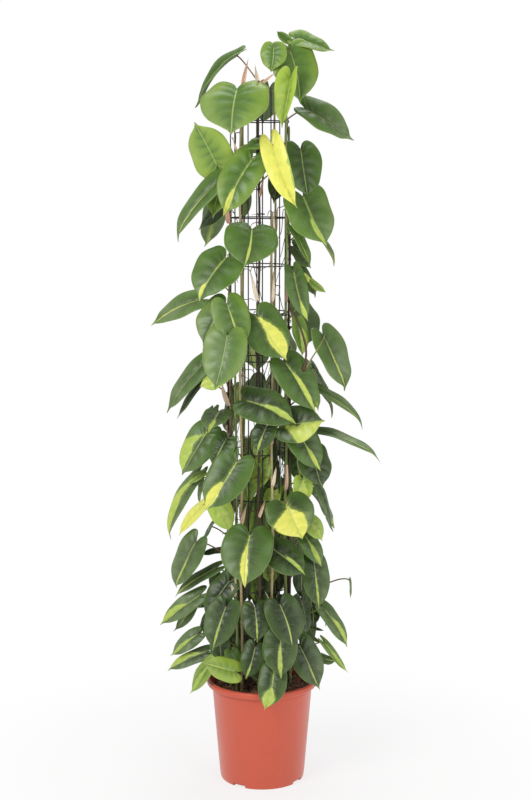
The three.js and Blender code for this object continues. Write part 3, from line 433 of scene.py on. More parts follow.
def smooth_line(points, steps):
    """Points spaced evenly along a smooth line through the given ones."""
    p = np.array(points, float)
    p = np.vstack([2 * p[0] - p[1], p, 2 * p[-1] - p[-2]])
    fine = []
    for i in range(len(p) - 3):
        a, b, c, d = p[i:i + 4]
        for t in np.linspace(0, 1, 16, endpoint=False):
            fine.append(0.5 * (2 * b + (c - a) * t + (2 * a - 5 * b + 4 * c - d) * t**2
                               + (3 * b - a - 3 * c + d) * t**3))
    fine = np.array(fine + [p[-2]])
    run = np.concatenate([[0], np.cumsum(np.linalg.norm(np.diff(fine, axis=0), axis=1))])
    want = np.linspace(0, run[-1], steps + 1)
    return np.stack([np.interp(want, run, fine[:, k]) for k in range(fine.shape[1])], 1)


def bezier(a, b, c, d, steps):
    t = np.linspace(0, 1, steps + 1)[:, None]
    return a * (1 - t)**3 + 3 * b * t * (1 - t)**2 + 3 * c * t * t * (1 - t) + d * t**3


class Blade:
    """The place in space of a leaf's plan: a rib bent to an arc, with two folded halves."""

    def __init__(self, at, tip, wide, face, up, bend, fold, phase):
        self.start = np.array(at, float)
        chord = np.array(tip, float) - self.start
        self.long = np.linalg.norm(chord)
        self.along = chord / self.long
        a, b = math.radians(face), math.radians(up)
        look = np.array((math.sin(a) * math.cos(b), -math.cos(a) * math.cos(b), math.sin(b)))
        self.normal = unit(look - look.dot(self.along) * self.along)
        self.side = np.cross(self.normal, self.along)
        self.arc = math.radians(2 if abs(bend) < 2 else bend)
        self.radius = self.long / (2 * math.sin(self.arc / 2))
        self.half, self.fold, self.phase = wide / 2, math.radians(fold), phase

    def place(self, across, share, lift):
        """Points for arrays of plan places and heights above the blade."""
        turn = self.arc * (0.5 - np.maximum(0, share))
        cos, sin = np.cos(turn)[:, None], np.sin(turn)[:, None]
        tangent = self.along * cos + self.normal * sin
        out = self.normal * cos - self.along * sin
        reach = np.abs(across)
        ripple = np.sin(BLADE["waves"] * share + self.phase + np.sign(across))
        wave = BLADE["wave"] * 2 * self.half * reach**2 * ripple
        rise = reach * self.half * math.sin(self.fold) - BLADE["curl"] * self.half * reach**2 + wave
        return (self.start
                + self.along * (self.radius * (math.sin(self.arc / 2) - np.sin(turn)))[:, None]
                + self.normal * (self.radius * (np.cos(turn) - math.cos(self.arc / 2)))[:, None]
                + tangent * (np.minimum(0, share) * self.long)[:, None]
                + self.side * (across * self.half * math.cos(self.fold))[:, None]
                + out * (rise + lift)[:, None])


def blade_plan(outline, columns, rows, fan, power):
    """A closed two-sided sheet over half an outline and its mirror image. The lines across it fan out from
    the notch for the first share of the outline, and then leave the rib further and further along."""
    edge = smooth_line(outline, rows)
    bm = bmesh.new()
    bmesh.ops.create_grid(bm, x_segments=2 * columns, y_segments=rows, size=1)
    names = ("u", "t", "across", "along", "upper")
    for name in names:
        bm.verts.layers.float.new(name)
    layer = {name: bm.verts.layers.float[name] for name in names}
    for v in bm.verts:
        u, t = v.co.x, (v.co.y + 1) / 2
        across, along = edge[round(t * rows)]
        rib = max(0.0, (t - fan) / (1 - fan))**power
        place = (u * across, rib + (along - rib) * abs(u))
        for name, value in zip(names, (u, t, *place)):
            v[layer[name]] = value
        v.co = (*place, 0)
    bmesh.ops.remove_doubles(bm, verts=bm.verts, dist=1e-5)
    bmesh.ops.dissolve_degenerate(bm, edges=bm.edges, dist=1e-6)
    bmesh.ops.recalc_face_normals(bm, faces=bm.faces)
    if sum(f.normal.z for f in bm.faces) > 0:
        bmesh.ops.reverse_faces(bm, faces=bm.faces)
    raised = bmesh.ops.extrude_face_region(bm, geom=bm.faces[:], use_keep_orig=True)["geom"]
    for v in raised:
        if isinstance(v, bmesh.types.BMVert):
            v[layer["upper"]] = 1
            v.co.z = -1
    mesh = bpy.data.meshes.new("blade_plan")
    bm.to_mesh(mesh)
    bm.free()
    return mesh


def plan_values(mesh, name):
    values = np.empty(len(mesh.vertices))
    mesh.attributes[name].data.foreach_get("value", values)
    return values


class Sheets:
    """Collects copies of a plan, each bent to its own place, in one mesh with what its material reads."""

    def __init__(self, plan):
        self.plan = plan
        self.values = {name: plan_values(plan, name) for name in ("u", "t", "across", "along", "upper")}
        self.bm = bmesh.new()
        layers = self.bm.verts.layers
        self.blade = layers.float_vector.new("blade")
        self.look = layers.float_vector.new("look")
        self.streak = layers.float.new("streak")

    def add(self, points, tone, tint, streak):
        first = len(self.bm.verts)
        self.bm.from_mesh(self.plan)
        self.bm.verts.ensure_lookup_table()
        own = self.values
        for i in range(len(points)):
            v = self.bm.verts[first + i]
            v.co = points[i] * MM
            v[self.blade] = (own["u"][i], own["across"][i], own["t"][i])
            v[self.look] = (tone, tint, 1 - own["upper"][i])
            v[self.streak] = streak[i]

    def finish(self, name, node, slot, material):
        return make_piece(name, self.bm, (node,), (material,))


def make_piece(name, bm, nodes, materials):
    """A finished smooth object from a bmesh."""
    mesh = bpy.data.meshes.new(name)
    for face in bm.faces:
        face.smooth = True
    bm.to_mesh(mesh)
    bm.free()
    return register_piece(name, mesh, nodes, materials)


def register_piece(name, mesh, nodes, materials):
    """A finished object from a mesh, riding on the part and standing for the CAD nodes."""
    mesh.name = name
    while len(mesh.materials) < len(materials):
        mesh.materials.append(None)
    for i, material in enumerate(materials):
        mesh.materials[i] = material
    piece = bpy.data.objects.new(name, mesh)
    bpy.context.scene.collection.objects.link(piece)
    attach(piece, BODY)
    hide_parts(*nodes)
    return piece


def rods_mesh(name, rods, sides):
    """Round rods as one mesh, from (points in mm, radii in mm, material index), by a bevelled curve."""
    curve = bpy.data.curves.new(name, "CURVE")
    curve.dimensions = "3D"
    curve.bevel_depth = 1
    curve.bevel_resolution = sides
    curve.use_fill_caps = True
    for index in range(1 + max(rod[2] for rod in rods)):
        curve.materials.append(None)
    for points, radii, index in rods:
        spline = curve.splines.new("POLY")
        spline.points.add(len(points) - 1)
        spline.points.foreach_set("co", np.hstack([points * MM, np.ones((len(points), 1))]).ravel())
        spline.points.foreach_set("radius", np.asarray(radii, float) * MM)
        spline.material_index = index
        spline.use_smooth = True
    holder = bpy.data.objects.new(name + "_curve", curve)
    bpy.context.scene.collection.objects.link(holder)
    depsgraph = bpy.context.evaluated_depsgraph_get()
    mesh = bpy.data.meshes.new_from_object(holder.evaluated_get(depsgraph))
    bpy.data.objects.remove(holder)
    bpy.data.curves.remove(curve)
    return mesh


# Shader helpers

class Shader:
    """A material's node tree, with short calls for the nodes used here."""

    def __init__(self, name):
        self.material = bpy.data.materials.new(name)
        self.material.use_nodes = True
        self.tree = self.material.node_tree
        self.surface = self.tree.nodes["Principled BSDF"]
        self.object = self.node("ShaderNodeTexCoord").outputs["Object"]

    def node(self, kind, inputs=(), **settings):
        made = self.tree.nodes.new(kind)
        for key, value in settings.items():
            setattr(made, key, value)
        for key, value in dict(inputs).items():
            self.put(made.inputs[key], value)
        return made

    def put(self, socket, value):
        if isinstance(value, bpy.types.NodeSocket):
            self.tree.links.new(value, socket)
        elif socket.type == "RGBA":
            socket.default_value = (*value[:3], 1)
        else:
            socket.default_value = value

    def math(self, operation, *values, clamp=False):
        made = self.node("ShaderNodeMath", dict(enumerate(values)), operation=operation, use_clamp=clamp)
        return made.outputs[0]

    def times(self, a, b):
        return self.math("MULTIPLY", a, b)

    def varied(self, value, amount, base, clamp=False):
        """The base, moved by how far the value lies from its middle."""
        return self.math("MULTIPLY_ADD", self.math("SUBTRACT", value, 0.5), amount, base, clamp=clamp)

    def scaled(self, vector, scale):
        return self.node("ShaderNodeVectorMath", {0: vector, 1: scale}, operation="MULTIPLY").outputs[0]

    def step(self, value, low, high, to_low=0.0, to_high=1.0):
        inputs = {"Value": value, "From Min": low, "From Max": high, "To Min": to_low, "To Max": to_high}
        return self.node("ShaderNodeMapRange", inputs, interpolation_type="SMOOTHSTEP").outputs[0]

    def noise(self, vector, scale, detail=3.0, rough=0.55):
        inputs = {"Vector": vector, "Scale": scale, "Detail": detail, "Roughness": rough}
        return self.node("ShaderNodeTexNoise", inputs).outputs["Fac"]

    def mix(self, factor, a, b):
        inputs = {"Factor": factor, 6: a, 7: b}
        return self.node("ShaderNodeMix", inputs, data_type="RGBA").outputs[2]

    def ramp(self, factor, stops):
        made = self.node("ShaderNodeValToRGB", {"Fac": factor})
        elements = made.color_ramp.elements
        while len(elements) < len(stops):
            elements.new(0.5)
        for element, (place, value) in zip(elements, stops):
            element.position = place
            element.color = (*value[:3], 1)
        return made.outputs["Color"]

    def attribute(self, name):
        return self.node("ShaderNodeAttribute", attribute_name=name)

    def parts(self, vector):
        return self.node("ShaderNodeSeparateXYZ", {0: vector}).outputs

    def joined(self, x, y, z):
        return self.node("ShaderNodeCombineXYZ", {0: x, 1: y, 2: z}).outputs[0]

    def blade(self):
        """A place on a sheet: u from margin to margin, across in the flat plan, and t along the margin."""
        return self.parts(self.attribute("blade").outputs["Vector"])

    def bump(self, height, distance, strength=1.0):
        inputs = {"Height": height, "Distance": distance, "Strength": strength}
        self.put(self.surface.inputs["Normal"], self.node("ShaderNodeBump", inputs).outputs[0])

    def finish(self, base, roughness, **constants):
        self.put(self.surface.inputs["Base Color"], base)
        self.put(self.surface.inputs["Roughness"], roughness)
        for key, value in constants.items():
            self.surface.inputs[key.replace("_", " ")].default_value = value
        return self.material


def leaf_material(s):
    """Waxy green with a pale rib, faint veins and a ragged lime and yellow streak, with painted shade by the
    rib and in the vein furrows, painted light towards the margin and a painted sheen on the outermost leaves.
    """
    sh = Shader("leaf_blade")
    u, across, t = sh.blade()
    tone, tint, under = sh.parts(sh.attribute("look").outputs["Vector"])
    streak = sh.attribute("streak").outputs["Fac"]
    reach = sh.math("ABSOLUTE", u)
    broad = sh.noise(sh.object, scale=26)
    fine = sh.noise(sh.object, scale=210, detail=2)

    # The side veins sweep on along the leaf as they near its edge
    swept = sh.math("MULTIPLY_ADD", sh.times(reach, reach), -BLADE["sweep"], t)
    turn = sh.math("FRACT", sh.math("ADD", sh.times(swept, float(s.veins)), 0.5))
    off_vein = sh.math("ABSOLUTE", sh.math("SUBTRACT", turn, 0.5))

    # Mottled green, with painted shade beside the rib and in the furrows of the veins, and painted light
    # towards the margin
    shade = sh.varied(broad, 0.24, tone)
    shade = sh.math("ADD", sh.step(reach, 0.05, 0.95, -0.13, 0.09), shade)
    # Painted shade in the furrows between the bulging veins, near the rib
    furrow_shade = sh.times(sh.step(off_vein, 0.0, 0.3, 1, 0), sh.step(reach, 0.25, 0.8, 1, 0))
    shade = sh.math("MULTIPLY_ADD", furrow_shade, -0.13, shade)
    green = sh.ramp(shade, ((0, s.dark), (0.5, s.middle), (1, s.light)))
    green = sh.mix(sh.step(fine, 0.3, 0.8, 0, 0.05), green, s.rib)

    # A painted sheen of greyish green on the leaves that stand furthest out, and thin pale veins
    x, y, _ = sh.parts(sh.object)
    out = sh.math("SQRT", sh.math("MULTIPLY_ADD", x, x, sh.times(y, y)))
    painted_sheen = sh.times(sh.step(out, 0.11, 0.19), sh.step(broad, 0.3, 0.7, 0.2, 0.65))
    green = sh.mix(painted_sheen, green, s.painted_sheen)
    vein = sh.times(sh.step(off_vein, 0.0, 0.08, 1, 0), sh.step(reach, 0.3, 0.95, 0.09, 0))
    green = sh.mix(vein, green, s.rib)

    # The streak: teeth along the veins make its edge ragged, and blotches of it are more yellow
    teeth = sh.joined(sh.times(swept, 26.0), sh.times(u, 1.6), sh.times(tone, 53.0))
    ragged = sh.varied(sh.noise(teeth, scale=1, detail=2), 0.09, streak)
    ragged = sh.varied(sh.noise(sh.object, scale=75), 0.13, ragged)
    blotch = sh.noise(sh.joined(sh.times(t, 15.0), sh.times(u, 1.5), tint), scale=1, detail=2)
    hue = sh.varied(blotch, 0.9, sh.times(sh.times(tint, tint), 0.85), clamp=True)
    coloured = sh.mix(sh.step(ragged, -0.13, -0.03, 0, 0.5), green, sh.mix(0.5, green, s.lime))
    coloured = sh.mix(sh.step(ragged, -0.03, 0.02), coloured, sh.mix(hue, s.lime, s.yellow))

    # Rib, margin and underside
    rib = sh.times(sh.step(sh.math("ABSOLUTE", across), 0.01, 0.03, 1, 0), sh.step(reach, 0.3, 0.6, 0.7, 0))
    coloured = sh.mix(rib, coloured, s.rib)
    coloured = sh.mix(sh.step(reach, 0.96, 0.99, 0, 0.35), coloured, s.rib)
    coloured = sh.mix(sh.times(under, 0.55), coloured, s.under)

    rough = sh.math("MULTIPLY_ADD", fine, 0.14, s.roughness - 0.07)
    rough = sh.math("MULTIPLY_ADD", under, 0.2, rough)
    sh.bump(sh.math("MULTIPLY_ADD", vein, -1.0, sh.times(fine, 0.4)), distance=0.0003)
    return sh.finish(coloured, rough, Specular_IOR_Level=0.45)


def times_colour(value, share):
    return tuple(share * c for c in value)


def bark_material(name, base, blush, patch, patches, scale):
    """Stems, stalks and roots: a skin with long blotches, patches and fine lengthwise lines."""
    sh = Shader(name)
    long = sh.noise(sh.scaled(sh.object, (1, 1, 0.18)), scale)
    lines = sh.noise(sh.scaled(sh.object, (1, 1, 0.06)), scale=900, detail=2)
    skin = sh.mix(sh.step(long, 0.38, 0.62), base, blush)
    skin = sh.mix(sh.step(sh.noise(sh.object, scale * 0.7), 1 - patches, 1.08 - patches), skin, patch)
    skin = sh.mix(sh.step(lines, 0.45, 0.75, 0, 0.35), skin, times_colour(base, 0.45))
    sh.bump(lines, distance=0.0004, strength=0.7)
    return sh.finish(skin, sh.step(long, 0.3, 0.7, 0.5, 0.65), Specular_IOR_Level=0.4)


def sheath_material(s):
    """Dry paper with lengthwise fibres, brown along its edges."""
    sh = Shader("papery_sheath")
    u, _, t = sh.blade()
    tone = sh.parts(sh.attribute("look").outputs["Vector"])[0]
    fibres = sh.noise(sh.joined(sh.times(u, 9.0), sh.times(t, 1.4), tone), scale=1.5, detail=4)
    paper = sh.mix(sh.varied(fibres, 0.7, tone, clamp=True), s.cream, s.salmon)
    paper = sh.mix(sh.step(fibres, 0.55, 0.8, 0, 0.45), paper, s.brown)
    paper = sh.mix(sh.step(sh.math("ABSOLUTE", u), 0.8, 1, 0, 0.5), paper, s.brown)
    sh.bump(fibres, distance=0.0008, strength=0.8)
    return sh.finish(paper, 0.75)


def pot_material(s):
    """Satin moulded plastic with faint scuffs."""
    sh = Shader("terracotta_plastic")
    cloud = sh.noise(sh.object, scale=9)
    specks = sh.noise(sh.object, scale=160, detail=5)
    skin = sh.mix(sh.step(cloud, 0.3, 0.7, 0, 0.35), s.plastic, times_colour(s.plastic, 0.88))
    skin = sh.mix(sh.times(sh.step(specks, 0.62, 0.72), sh.step(cloud, 0.45, 0.6, 0, 0.3)), skin, s.scuff)
    sh.bump(sh.noise(sh.object, scale=900, detail=2), distance=0.00004)
    return sh.finish(skin, sh.step(cloud, 0.3, 0.7, s.gloss - 0.02, s.gloss + 0.04), Specular_IOR_Level=0.5)


def peat_material(s):
    """Moist earth with dry lumps and reddish grains."""
    sh = Shader("peat")
    lumps = sh.noise(sh.object, scale=190, detail=6, rough=0.7)
    grains = sh.noise(sh.object, scale=900, detail=3)
    earth = sh.mix(sh.step(lumps, 0.42, 0.7), s.dark, s.light)
    earth = sh.mix(sh.step(grains, 0.66, 0.74, 0, 0.6), earth, s.fibre)
    sh.bump(sh.math("ADD", lumps, grains), distance=0.002)
    return sh.finish(earth, 0.9)


def fibre_material(s):
    """Fibres from reddish to the colour of dry crumbs."""
    sh = Shader("peat_fibre")
    tint = sh.noise(sh.object, scale=60)
    sh.bump(sh.noise(sh.object, scale=1200, detail=2), distance=0.0003)
    return sh.finish(sh.mix(sh.step(tint, 0.35, 0.65), s.fibre, s.light), 0.85)


def coated_material(name, base, roughness, scale):
    """Black coating with a slight grain and dust."""
    sh = Shader(name)
    grain = sh.noise(sh.object, scale, detail=3)
    dusty = sh.mix(sh.step(grain, 0.5, 0.8, 0, 0.25), base, (0.09, 0.08, 0.07))
    sh.bump(grain, distance=0.0002)
    return sh.finish(dusty, sh.step(grain, 0.3, 0.7, roughness, roughness + 0.15), Specular_IOR_Level=0.4)


def floor_material(s):
    sh = Shader("studio_floor")
    cloud = sh.noise(sh.object, 2.5)
    away = sh.node("ShaderNodeVectorMath", {0: sh.object}, operation="LENGTH").outputs["Value"]
    far = sh.step(away, 0.1, 0.9, 0.76, 1)
    plain = sh.mix(sh.step(cloud, 0.3, 0.7, 0, 0.2), s.floor, (0.8, 0.79, 0.785))
    glow = sh.node("ShaderNodeEmission", {"Color": (1, 1, 1), "Strength": 1.0}).outputs[0]
    sh.finish(plain, 0.75)
    blend = sh.node("ShaderNodeMixShader", {0: far, 1: sh.surface.outputs[0], 2: glow}).outputs[0]
    sh.put(sh.tree.nodes["Material Output"].inputs["Surface"], blend)
    return sh.material


# Vines

def leaves_behind(vine):
    """The leaves of the back, one above the other, swinging to each side of the stem."""
    rule = vine.get("behind")
    if not rule:
        return []
    draw = draws(rule["seed"])
    rows = []
    side = 1
    z = rule["low"]

    def between(pair):
        return pair[0] + pair[1] * next(draw)

    while z < rule["high"]:
        turn = rule["middle"] + side * between(BACK["swing"])
        long = between(BACK["long"])
        wide = long * between(BACK["shape"])
        out = rule["reach"] + STEM["out"] - BACK["inward"] * next(draw)
        lean = long * between(BACK["lean"])
        notch = round_column(turn, out, z + BACK["rise"] * next(draw))
        drop = math.sqrt(long**2 - lean**2)
        tip = round_column(turn + side * BACK["twist"] * next(draw), out + lean, notch[2] - drop)
        face = turn + side * BACK["turn_aside"] * next(draw)
        fold = between(BACK["fold"])
        rows.append((notch, tip, wide, face, BACK["up"], BACK["bend"], fold, *back_looks(notch[2])))
        side = -side
        z += spacing(rule["pitch"], BACK["thinning"], z)
    return rows


def spacing(pitch, thinning, z):
    """The height to the next leaf, which grows up the column."""
    least, more = thinning
    return pitch * (least + more * z / COLUMN["top"])


def leaves_inside(vine):
    """Small dark leaves that hang inside the column, with a draw of their own for each stem at its back."""
    rows = []
    if vine["name"] not in INSIDE["vines"]:
        return rows
    pick = random.Random(INSIDE["seed"] + INSIDE["vines"].index(vine["name"]))
    z = INSIDE["low"]
    while z < INSIDE["high"]:
        bearing, out = pick.uniform(0, 360), pick.uniform(*INSIDE["out"])
        notch = round_column(bearing, out, z + pick.uniform(*INSIDE["shift"]))
        long, face = pick.uniform(*INSIDE["long"]), pick.uniform(-1, 1) * INSIDE["aside"]
        a = math.radians(face)
        way = unit(np.array((math.sin(a) * INSIDE["lean"], -math.cos(a) * INSIDE["lean"], -1)))
        pale = INSIDE["pale"] * pick.random() if z > INSIDE["pale_above"] else 0
        tone, width = pale + pick.uniform(*INSIDE["mottle"]), pick.choice(INSIDE["streaks"])
        looks = (tone, width, 0, 0.2, 1.15, pick.uniform(*INSIDE["tint"]))
        bent = (long * INSIDE["shape"], face, INSIDE["up"], INSIDE["bend"], INSIDE["fold"])
        rows.append((notch, notch + long * way, *bent, *looks))
        z += spacing(INSIDE["pitch"], INSIDE["thinning"], z)
    return rows


def back_looks(z):
    """Looks for a leaf of the back: darker lower down, partly for the leaves' age and partly as painted shade
    from the light above, with a streak of its own.
    """
    rule = BACK_LOOKS
    pick = random.Random(round(z * 10))
    # Tone rises with height: partly age, partly painted shade lower down
    tone = rule["tone"] + rule["higher"] * z / COLUMN["top"] + rule["mottle"] * pick.random()
    width = pick.choice(rule["streaks"])
    side = pick.uniform(*rule["side"])
    start = pick.uniform(*rule["start"])
    return tone, width, side, start, rule["end"], pick.uniform(*rule["tint"])


def vine_leaves(vine):
    """Each leaf of a vine as its bent blade and its looks."""
    rows = [*vine["leaves"], *leaves_behind(vine), *leaves_inside(vine), *vine.get("hidden", ())]
    return [(Blade(*row[:7], phase=i * 1.9), row[7:]) for i, row in enumerate(rows)]


def stem_line(vine):
    """The stem's centre line in fine steps, straight up the column and then through its free points."""
    lengths = math.ceil((vine["top"] - STEM["foot"]) / STEM["step"])
    heights = [STEM["foot"] + i / lengths * (vine["top"] - STEM["foot"]) for i in range(lengths + 1)]
    points = [round_column(vine["bearing"], STEM["out"], z) for z in heights]
    points += [np.array(p, float) for p in vine.get("free", ())]
    return smooth_line(points, 10 * len(points))


def stem_at(line, z):
    return np.array([np.interp(z, line[:, 2], line[:, k]) for k in range(3)])


def stalk_route(blade, line):
    """A leaf stalk rises from the stem and bends over into the notch."""
    highest = line[-1, 2] - 2 * STEM["radius"]
    level = stem_at(line, min(blade.start[2], highest))
    away = math.hypot(*(blade.start - level)[:2])
    drop = min(PETIOLE["most"], max(PETIOLE["least"], away * PETIOLE["rise"]))
    root = stem_at(line, min(highest, blade.start[2] - drop))
    span = np.linalg.norm(blade.start - root)
    out = unit((blade.start - root) * (1, 1, 0))
    near = root + out * span * PETIOLE["near"][0] + (0, 0, span * PETIOLE["near"][1])
    far = blade.start - blade.normal * span * PETIOLE["far"][0] + (0, 0, span * PETIOLE["far"][1])
    return bezier(root, near, far, blade.start, PETIOLE["steps"])


def streak_margin(values, looks):
    """How far inside its leaf's streak each point lies, in half widths. A wide streak swells sooner, and one
    that is wider than the leaf fills it."""
    width, side, start, end = looks
    run = (values["along"] - start) / (end - start)
    onset = STREAK["onset"] - STREAK["sooner"] * min(1, width)
    swell = np.clip(run / onset, 0, 1) * np.clip((1 - run) / STREAK["close"], 0, 1)
    if width > 1:
        swell = np.ones_like(run)
    centre = side * np.clip(run / STREAK["shift"], 0, 1)
    across, along = np.array(HEART[WIDEST:]).T
    room = STREAK["narrow"] + (1 - STREAK["narrow"]) * np.interp(values["along"], along, across)
    inside = width * swell - np.abs(values["across"] / room - centre)
    sharp = (STREAK["usual"] / max(width, STREAK["least"]))**STREAK["power"]
    return inside * sharp - (STREAK["absent"] if width == 0 else 0)


# Operators

class PLANT_OT_stage(bpy.types.Operator):
    """Set up the camera, the white surround, the soft lights and the pale floor"""
    bl_idname = "plant.stage"
    bl_label = "Stage"

    def execute(self, context):
        s = context.scene.plant_stage
        data = bpy.data.cameras.new("camera")
        data.sensor_width = 36
        data.lens = s.focal * data.sensor_width / max(PHOTO)
        camera = bpy.data.objects.new("camera", data)
        camera.location = s.camera
        camera.rotation_euler = (math.pi / 2 - s.pitch, 0, 0)
        context.scene.collection.objects.link(camera)
        context.scene.camera = camera
        context.scene.view_settings.view_transform = "Standard"

        world = bpy.data.worlds.new("surround")
        world.use_nodes = True
        nodes, links = world.node_tree.nodes, world.node_tree.links
        nodes["Background"].inputs["Color"].default_value = (1, 1, 1, 1)
        seen = nodes.new("ShaderNodeLightPath").outputs["Is Camera Ray"]
        strength = nodes.new("ShaderNodeMapRange")
        strength.inputs["To Min"].default_value = s.sky
        strength.inputs["To Max"].default_value = 1.0
        links.new(seen, strength.inputs["Value"])
        links.new(strength.outputs[0], nodes["Background"].inputs["Strength"])
        context.scene.world = world

        for name, power, size, place, aim in (
            ("key", s.key, 1.6, (-1.9, -2.4, 2.7), (0, 0, 0.9)),
            ("fill", s.fill, 2.2, (2.3, -2.2, 1.4), (0, 0, 0.7)),
            ("top", s.fill, 1.6, (0.2, 0.8, 3.2), (0, 0, 0.9)),
        ):
            lamp = bpy.data.lights.new(name, "AREA")
            lamp.energy = power
            lamp.size = size
            light = bpy.data.objects.new(name, lamp)
            light.location = place
            light.rotation_euler = (Vector(aim) - Vector(place)).to_track_quat("-Z", "Y").to_euler()
            context.scene.collection.objects.link(light)

        bm = bmesh.new()
        bmesh.ops.create_grid(bm, x_segments=1, y_segments=1, size=30)
        mesh = bpy.data.meshes.new("floor")
        bm.to_mesh(mesh)
        bm.free()
        mesh.materials.append(floor_material(s))
        floor = bpy.data.objects.new("floor", mesh)
        context.scene.collection.objects.link(floor)
        floor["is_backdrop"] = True
        return {"FINISHED"}


class PLANT_OT_pot(bpy.types.Operator):
    """Turn the grower's pot with its rolled rim, foot notches and drain holes"""
    bl_idname = "plant.pot"
    bl_label = "Pot"

    def execute(self, context):
        s = context.scene.plant_pot
        rim, neck, foot, wall, bead = (POT[k] for k in ("rim", "neck", "foot", "wall", "bead"))
        height = POT["height"]
        under = height - POT["rim_height"]
        inner = POT["floor"] + POT["floor_thick"]
        underside = [(0, POT["floor"]), (foot - POT["skirt"] - 2, POT["floor"]), (foot - POT["skirt"], 0)]
        outside = [(foot - 1.5, 0), (foot, bead), (foot + 0.9, 12), (foot + 1.4, 13.2),
                   (neck - 1.2, under - 12), (neck - 0.4, under - 10.5), (neck, under - 1.5)]
        lip = [(rim - 1.5, under), (rim, under + bead), (rim, height - bead), (rim - bead, height),
               (rim - 2 * bead, height), (rim - 2 * bead - 1.2, height - 1.5)]
        inside = [(neck - wall, under - bead), (foot - wall + 1, inner), (0, inner)]
        bm = bmesh.new()
        verts = [bm.verts.new((r * MM, 0, z * MM)) for r, z in underside + outside + lip + inside]
        edges = [bm.edges.new(pair) for pair in zip(verts, verts[1:])]
        bmesh.ops.spin(bm, geom=verts + edges, cent=(0, 0, 0), axis=(0, 0, 1), angle=2 * math.pi,
                       steps=s.steps, use_merge=True)
        bmesh.ops.remove_doubles(bm, verts=bm.verts, dist=SAME)
        bmesh.ops.dissolve_degenerate(bm, edges=bm.edges, dist=SAME)
        bmesh.ops.recalc_face_normals(bm, faces=bm.faces)
        hoops = [e for e in bm.edges if is_level(e) and e.is_manifold
                 and e.calc_face_angle(0) > math.radians(POT["sharp"])
                 and e.verts[0].co.xy.length > POT["hub"] * MM]
        bmesh.ops.bevel(bm, geom=hoops, offset=POT["round"] * MM, segments=3, profile=0.5, affect="EDGES",
                        material=-1)
        pot = make_piece("pot_shell", bm, ("pot",), (pot_material(s),))
        cut_away(pot, self.cutters())
        return {"FINISHED"}

    def cutters(self):
        """Blocks for the notches in the foot and rods for the drain holes."""
        bm = bmesh.new()
        for i in range(NOTCH["count"]):
            turn = Matrix.Rotation(math.radians(NOTCH["first"] + i * 360 / NOTCH["count"]), 4, "Z")
            place = Matrix.Translation((0, (POT["skirt"] / 2 - POT["foot"]) * MM, 0))
            deep = POT["skirt"] + NOTCH["spare"]
            size = Matrix.Diagonal((NOTCH["wide"] * MM, 2 * deep * MM, 2 * NOTCH["high"] * MM, 1))
            made = bmesh.ops.create_cube(bm, size=1, matrix=turn @ place @ size)
            edges = dict.fromkeys(e for v in made["verts"] for e in v.link_edges)
            level = [e for e in edges if is_level(e)]
            bmesh.ops.bevel(bm, geom=level, offset=NOTCH["round"] * MM, segments=3, profile=0.5,
                            affect="EDGES", material=-1)
        for i in range(DRAIN["count"]):
            a = (i + 0.5) / DRAIN["count"] * 2 * math.pi
            place = Vector((math.cos(a), math.sin(a), 0)) * DRAIN["out"] * MM
            place.z = (POT["floor"] + POT["floor_thick"] / 2) * MM
            bmesh.ops.create_cone(bm, cap_ends=True, segments=24, radius1=DRAIN["radius"] * MM,
                                  radius2=DRAIN["radius"] * MM, depth=4 * POT["floor_thick"] * MM,
                                  matrix=Matrix.Translation(place))
        return bm


def is_level(edge):
    return abs(edge.verts[0].co.z - edge.verts[1].co.z) < 0.1 * SAME


def cut_away(piece, bm):
    """Cuts the shapes in a bmesh out of a piece's mesh."""
    mesh = bpy.data.meshes.new("cutter")
    bm.to_mesh(mesh)
    bm.free()
    cutter = bpy.data.objects.new("cutter", mesh)
    bpy.context.scene.collection.objects.link(cutter)
    modifier = piece.modifiers.new("cut", "BOOLEAN")
    modifier.operation = "DIFFERENCE"
    modifier.solver = "EXACT"
    modifier.object = cutter
    depsgraph = bpy.context.evaluated_depsgraph_get()
    cut = bpy.data.meshes.new_from_object(piece.evaluated_get(depsgraph))
    piece.modifiers.clear()
    old = piece.data
    piece.data = cut
    cut.name = piece.name
    bpy.data.objects.remove(cutter)
    bpy.data.meshes.remove(mesh)
    bpy.data.meshes.remove(old)


